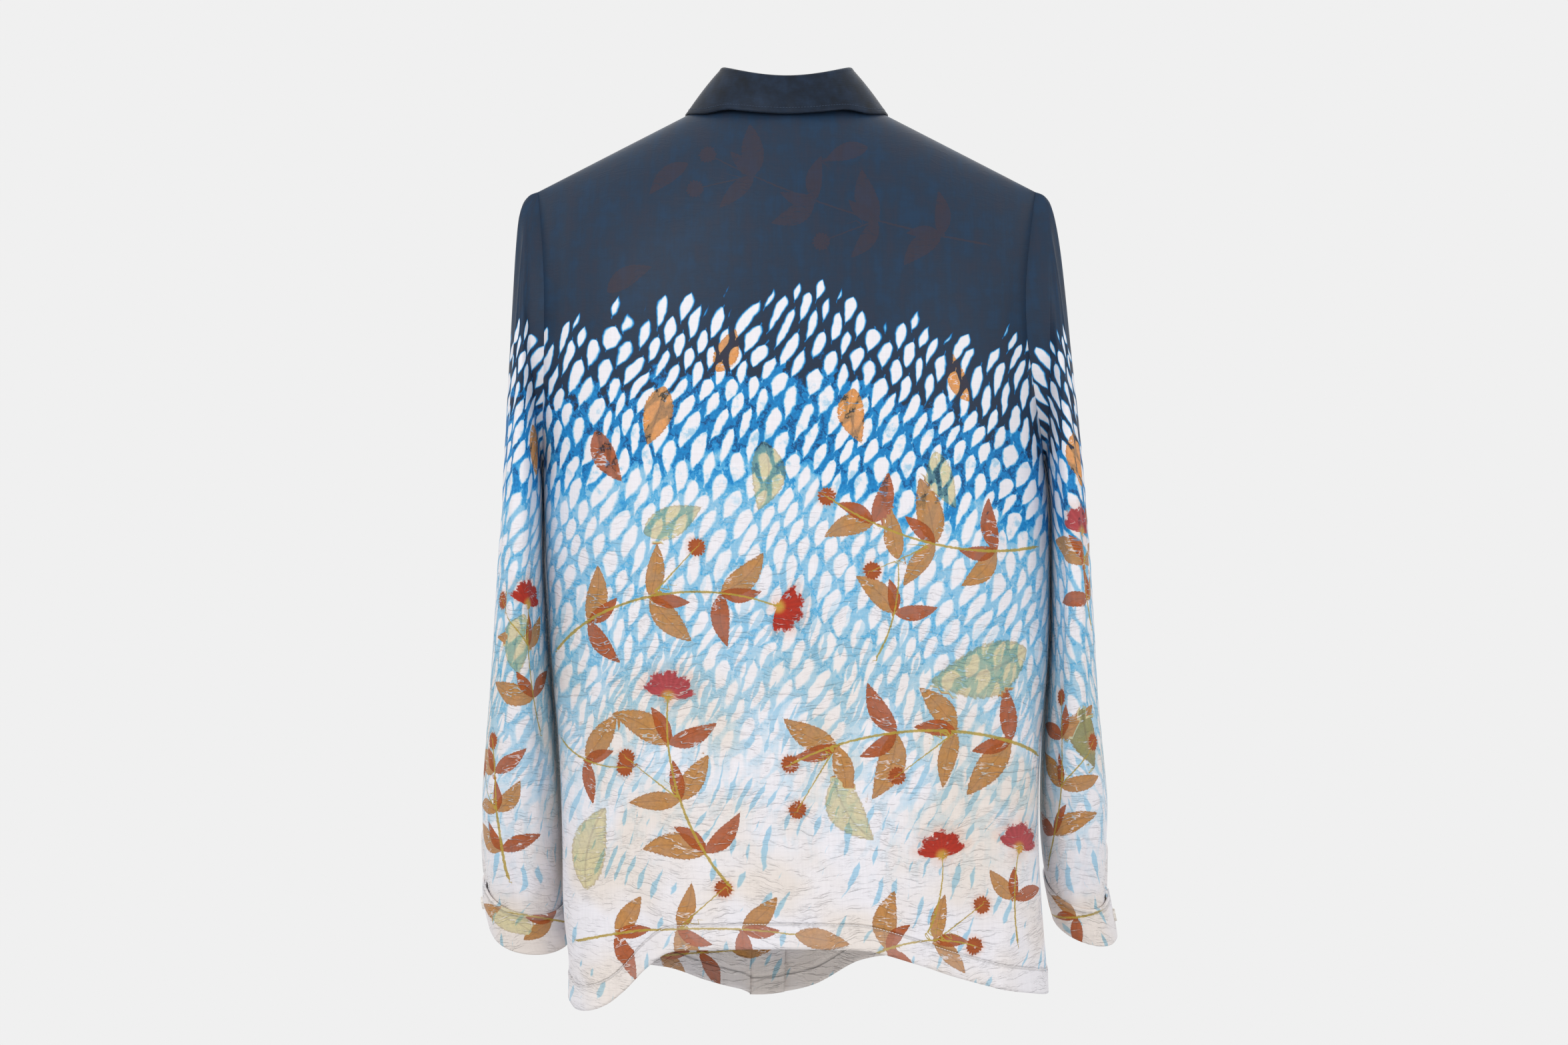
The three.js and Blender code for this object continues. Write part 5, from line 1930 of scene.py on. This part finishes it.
def navy_silk(name):
    """Silk satin dyed all over in deep indigo: faint mottling and a soft shine."""
    material, tree = new_material(name)
    place = add(tree, "ShaderNodeUVMap", uv_map="cloth")
    place = add(tree, VECTOR, {0: place, "Scale": 1 / MM}, operation="SCALE")
    mottle = add(
        tree,
        NOISE,
        {"Vector": place, "Scale": 0.06, "Detail": 5.0, "Roughness": 0.6},
        noise_dimensions="2D",
    )
    colour = add(tree, RAMP, [mottle], stops=[(0.25, "#09131f"), (0.5, "#101f31"), (0.75, "#192b41")])
    thread_place = add(tree, VECTOR, [place, (0.06, 1.0, 1.0)], operation="MULTIPLY")
    threads = add(
        tree, NOISE, {"Vector": thread_place, "Scale": 1.1, "Detail": 2.0}, noise_dimensions="2D"
    )
    uneven = add(tree, MATH, [threads, 0.3, 0.85], operation="MULTIPLY_ADD")
    colour = add(
        tree, MIX, {0: 1.0, 6: colour, 7: add(tree, GREY, [uneven] * 3)}, **OVER, blend_type="MULTIPLY"
    )
    bump = add(tree, "ShaderNodeBump", {"Strength": 0.3, "Distance": 0.0004, "Height": threads})
    shader = add(
        tree,
        "ShaderNodeBsdfPrincipled",
        {
            "Base Color": colour,
            "Roughness": 0.48,
            "Specular IOR Level": 0.24,
            "Sheen Weight": 0.04,
            "Sheen Roughness": 0.35,
            "Normal": bump,
        },
    )
    add(tree, "ShaderNodeOutputMaterial", [shader])
    return material


def dyed_thread(name):
    """Twisted silk thread, sewn before the dyeing: pale low down and navy at the top."""
    material, tree = new_material(name)
    place = add(tree, "ShaderNodeTexCoord", out="Object")
    height = add(tree, "ShaderNodeSeparateXYZ", [place], out="Z")
    share = add(tree, RANGE, [height, -0.5, -0.2, 0.0, 1.0])
    colour = add(
        tree,
        RAMP,
        [share],
        stops=[(0.0, "#efebea"), (0.4, "#a8c6dc"), (0.8, "#2f4f70"), (1.0, "#2c3e55")],
    )
    twist = add(
        tree, "ShaderNodeTexWave", {"Vector": place, "Scale": 900.0, "Distortion": 1.0}, out="Fac"
    )
    bump = add(tree, "ShaderNodeBump", {"Strength": 0.3, "Distance": 0.00005, "Height": twist})
    shader = add(
        tree, "ShaderNodeBsdfPrincipled", {"Base Color": colour, "Roughness": 0.45, "Normal": bump}
    )
    add(tree, "ShaderNodeOutputMaterial", [shader])
    return material


def polished_shell(name):
    """River shell, turned and polished: cream to grey clouds in layers, with a clear gloss."""
    material, tree = new_material(name)
    place = add(tree, "ShaderNodeTexCoord", out="Object")
    layered = add(tree, VECTOR, [place, (1.0, 1.0, 4.0)], operation="MULTIPLY")
    clouds = add(tree, NOISE, {"Vector": layered, "Scale": 160.0, "Detail": 4.0, "Distortion": 1.2})
    colour = add(tree, RAMP, [clouds], stops=[(0.3, "#cfc6bb"), (0.5, "#e9e3da"), (0.7, "#f5f1ec")])
    bump = add(tree, "ShaderNodeBump", {"Strength": 0.15, "Distance": 0.0001, "Height": clouds})
    shader = add(
        tree,
        "ShaderNodeBsdfPrincipled",
        {
            "Base Color": colour,
            "Roughness": 0.2,
            "IOR": 1.53,
            "Coat Weight": 0.4,
            "Coat Roughness": 0.08,
            "Normal": bump,
        },
    )
    add(tree, "ShaderNodeOutputMaterial", [shader])
    return material


def plain_material(name, colour, roughness, **more):
    material, tree = new_material(name)
    inputs = {"Base Color": linear(colour), "Roughness": roughness, **more}
    add(tree, "ShaderNodeOutputMaterial", [add(tree, "ShaderNodeBsdfPrincipled", inputs)])
    return material


def material_named(name, build):
    return bpy.data.materials.get(name) or build(name)


# ---------------------------------------------------------------- operators
class BodyOperator(bpy.types.Operator):
    """Builds the back and both fronts from the neck and shoulders to the hem"""

    bl_idname = "shirt.body"
    bl_label = "Back and fronts"

    def execute(self, context):
        settings = context.scene.shirt_cloth
        silk = material_named("printed indigo silk satin", printed_silk)
        grid, uv = back_panel(settings.spacing / MM)
        obj = grid_object(
            "silk_back", grid, uv, layers=print_layers("back", grid, uv, -1, BACK_HEM_BAND - 1)
        )
        make_sheet(obj, ["back"], settings.thickness / MM, silk)
        for name, side in (("front_left", -1), ("front_right", 1)):
            grid, uv = front_panel(side, settings.spacing / MM)
            layers = print_layers("front", grid, uv, -1, FRONT_HEM_BAND - 1)
            obj = grid_object(f"silk_{name}", grid, uv, flip=side > 0, layers=layers)
            make_sheet(obj, [name], settings.thickness / MM, silk)
        return {"FINISHED"}


class SleevesOperator(bpy.types.Operator):
    """Builds both sleeves from the armholes to the cuffs"""

    bl_idname = "shirt.sleeves"
    bl_label = "Sleeves"

    def execute(self, context):
        settings = context.scene.shirt_cloth
        silk = material_named("printed indigo silk satin", printed_silk)
        spacing = settings.spacing / MM
        for name in ("left", "right"):
            grid = sleeve_grid(name, round(SLEEVE_ROUND / spacing), round(SLEEVE_ALONG / spacing))
            closed = closed_layers(grid)
            uv = sleeve_map(closed, -1 if name == "left" else 1, SLEEVE_ROWS[name])
            layers = print_layers(f"sleeve_{name}", closed, uv)
            obj = grid_object(
                f"silk_sleeve_{name}", grid, uv, closed=True, flip=name == "left", layers=layers
            )
            make_sheet(obj, [f"sleeve_{name}"], settings.thickness / MM, silk)
        return {"FINISHED"}


class CuffsOperator(bpy.types.Operator):
    """Builds both cuffs, each a band whose ends lap at the outer edge"""

    bl_idname = "shirt.cuffs"
    bl_label = "Cuffs"

    def execute(self, context):
        settings = context.scene.shirt_cloth
        silk = material_named("printed indigo silk satin", printed_silk)
        for name in ("left", "right"):
            grid = cuff_grid(name, *CUFF_GRID)
            uv = cloth_map(grid, 0, SLEEVE_DEPTH_SHARE)
            layers = print_layers(f"cuff_{name}", grid, uv, 0, CUFF_STITCH)
            obj = grid_object(f"silk_cuff_{name}", grid, uv, flip=name == "left", layers=layers)
            make_sheet(obj, [f"cuff_{name}"], settings.band / MM, silk)
        return {"FINISHED"}


class CollarOperator(bpy.types.Operator):
    """Builds the collar's stand and its fall"""

    bl_idname = "shirt.collar"
    bl_label = "Collar"

    def execute(self, context):
        settings = context.scene.shirt_cloth
        silk = material_named("deep indigo silk satin", navy_silk)
        grid = stand_grid(*STAND_GRID)
        obj = grid_object("silk_collar_stand", grid, cloth_map(grid, STAND_GRID[0] // 2), flip=True)
        make_sheet(obj, ["collar_stand"], settings.band / MM, silk)
        grid = fall_grid(*FALL_GRID)
        obj = grid_object("silk_collar_fall", grid, cloth_map(grid, FALL_GRID[0] // 2))
        make_sheet(obj, ["collar_fall"], settings.band / MM, silk)
        return {"FINISHED"}


class StitchesOperator(bpy.types.Operator):
    """Builds the stitching of hems, front facings, cuffs and collar"""

    bl_idname = "shirt.stitches"
    bl_label = "Stitching"

    def execute(self, context):
        spacing = context.scene.shirt_cloth.spacing / MM
        thread = material_named("silk thread dyed with the cloth", dyed_thread)
        lines = [line_beside(back_panel(spacing)[0], False, -1, BACK_HEM_BAND - 1)]
        for side in (-1, 1):
            grid = front_panel(side, spacing)[0]
            lines.append(line_beside(grid, side > 0, -1, FRONT_HEM_BAND - 1))
            lines.append(line_beside(grid.transpose(1, 0, 2), side < 0, 0, FACING_STITCH))
        stitch_object("body_stitches", lines, thread)
        for name in ("left", "right"):
            line = line_beside(cuff_grid(name, *CUFF_GRID), name == "left", 0, CUFF_STITCH)
            stitch_object(f"cuff_{name}_stitches", [line], thread)
        fall = fall_grid(*FALL_GRID)
        ends = fall[14:-2].transpose(1, 0, 2)
        lines = [line_beside(fall, False, -1, COLLAR_STITCH)]
        lines += [line_beside(ends, True, row, COLLAR_STITCH) for row in (0, -1)]
        stitch_object("collar_stitches", lines, thread)
        return {"FINISHED"}


class ButtonsOperator(bpy.types.Operator):
    """Builds the shell buttons of the collar stand, the front and the cuffs"""

    bl_idname = "shirt.buttons"
    bl_label = "Buttons"

    def execute(self, context):
        shell = material_named("polished river shell", polished_shell)
        thread = material_named("silk thread dyed with the cloth", dyed_thread)
        button = button_shape(shell, thread)
        for node in (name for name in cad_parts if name.startswith("button_")):
            mesh = button.data.copy()
            mesh.transform(button_frame(node))
            obj = bpy.data.objects.new(f"shell_{node}", mesh)
            context.collection.objects.link(obj)
            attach(obj, "root")
            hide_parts(node)
        bpy.data.objects.remove(button)
        return {"FINISHED"}


class StageOperator(bpy.types.Operator):
    """Sets the floor, the soft light and the camera"""

    bl_idname = "shirt.stage"
    bl_label = "Stage"

    def execute(self, context):
        settings = context.scene.shirt_stage
        scene = context.scene
        scene.view_settings.view_transform = "Standard"
        bpy.ops.object.select_all(action="DESELECT")
        bpy.ops.mesh.primitive_circle_add(
            vertices=96, radius=1.2, fill_type="NGON", location=(0, 0, -1.0)
        )
        floor = context.object
        floor.name = "floor"
        floor.data.materials.append(plain_material("pale paper", "#e9e9e9", 0.8))
        world = bpy.data.worlds.new("studio")
        world.use_nodes = True
        scene.world = world
        tree = world.node_tree
        tree.nodes.clear()
        seen = add(tree, "ShaderNodeBackground", [linear("#f0f0f0"), 1.0])
        light = add(tree, "ShaderNodeBackground", [linear("#ffffff"), settings.ambient])
        is_seen = add(tree, "ShaderNodeLightPath")
        mixed = add(tree, "ShaderNodeMixShader", [is_seen, light, seen])
        add(tree, "ShaderNodeOutputWorld", [mixed])
        lamps = (
            ("key", (-1.6, -2.6, 1.4), 2.2, settings.key),
            ("fill", (2.2, -2.4, 0.4), 2.0, settings.key * 0.45),
            ("front", (0.2, 3.0, 0.9), 2.4, settings.key * 0.5),
        )
        for name, place, size, watts in lamps:
            data = bpy.data.lights.new(name, "AREA")
            data.energy = watts
            data.size = size
            lamp = bpy.data.objects.new(name, data)
            lamp.location = place
            aim = Vector((0, 0, -0.4)) - Vector(place)
            lamp.rotation_euler = aim.to_track_quat("-Z", "Y").to_euler()
            scene.collection.objects.link(lamp)
        data = bpy.data.cameras.new("camera")
        data.lens = 85
        data.sensor_width = 36
        camera = bpy.data.objects.new("camera", data)
        camera.location = (-0.0023, -3.193, -0.363)
        camera.rotation_euler = (math.pi / 2, 0, 0)
        scene.collection.objects.link(camera)
        scene.camera = camera
        return {"FINISHED"}


# ---------------------------------------------------------------- settings and panel
class ClothSettings(bpy.types.PropertyGroup):
    spacing: bpy.props.FloatProperty(
        name="Spacing",
        description="Distance between the points of the cloth",
        default=0.0034,
        unit="LENGTH",
    )
    thickness: bpy.props.FloatProperty(
        name="Thickness",
        description="Thickness of the silk as it shows at edges",
        default=0.0007,
        unit="LENGTH",
    )
    band: bpy.props.FloatProperty(
        name="Band thickness",
        description="Thickness of collar and cuffs, which are two layers",
        default=0.0014,
        unit="LENGTH",
    )


class StageSettings(bpy.types.PropertyGroup):
    ambient: bpy.props.FloatProperty(
        name="Ambient", description="Strength of the light from all round", default=0.75
    )
    key: bpy.props.FloatProperty(
        name="Key light", description="Power of the main lamp", default=34.0, unit="POWER"
    )


class ShirtPanel(bpy.types.Panel):
    """Lists the shirt's settings and what can be built"""

    bl_idname = "VIEW3D_PT_shirt"
    bl_label = "Shirt"
    bl_space_type = "VIEW_3D"
    bl_region_type = "UI"
    bl_category = "Shirt"

    def draw(self, context):
        for settings in (context.scene.shirt_cloth, context.scene.shirt_stage):
            for key in settings.__annotations__:
                self.layout.prop(settings, key)
        for operator in OPERATORS:
            self.layout.operator(operator.bl_idname)


OPERATORS = (
    BodyOperator,
    SleevesOperator,
    CuffsOperator,
    CollarOperator,
    StitchesOperator,
    ButtonsOperator,
    StageOperator,
)
CLASSES = (ClothSettings, StageSettings, *OPERATORS, ShirtPanel)


def register():
    for cls in CLASSES:
        bpy.utils.register_class(cls)
    bpy.types.Scene.shirt_cloth = bpy.props.PointerProperty(type=ClothSettings)
    bpy.types.Scene.shirt_stage = bpy.props.PointerProperty(type=StageSettings)


def unregister():
    del bpy.types.Scene.shirt_cloth
    del bpy.types.Scene.shirt_stage
    for cls in reversed(CLASSES):
        bpy.utils.unregister_class(cls)


def main():
    register()
    for operator in OPERATORS:
        group, name = operator.bl_idname.split(".")
        getattr(getattr(bpy.ops, group), name)()


if __name__ == "__main__":
    main()
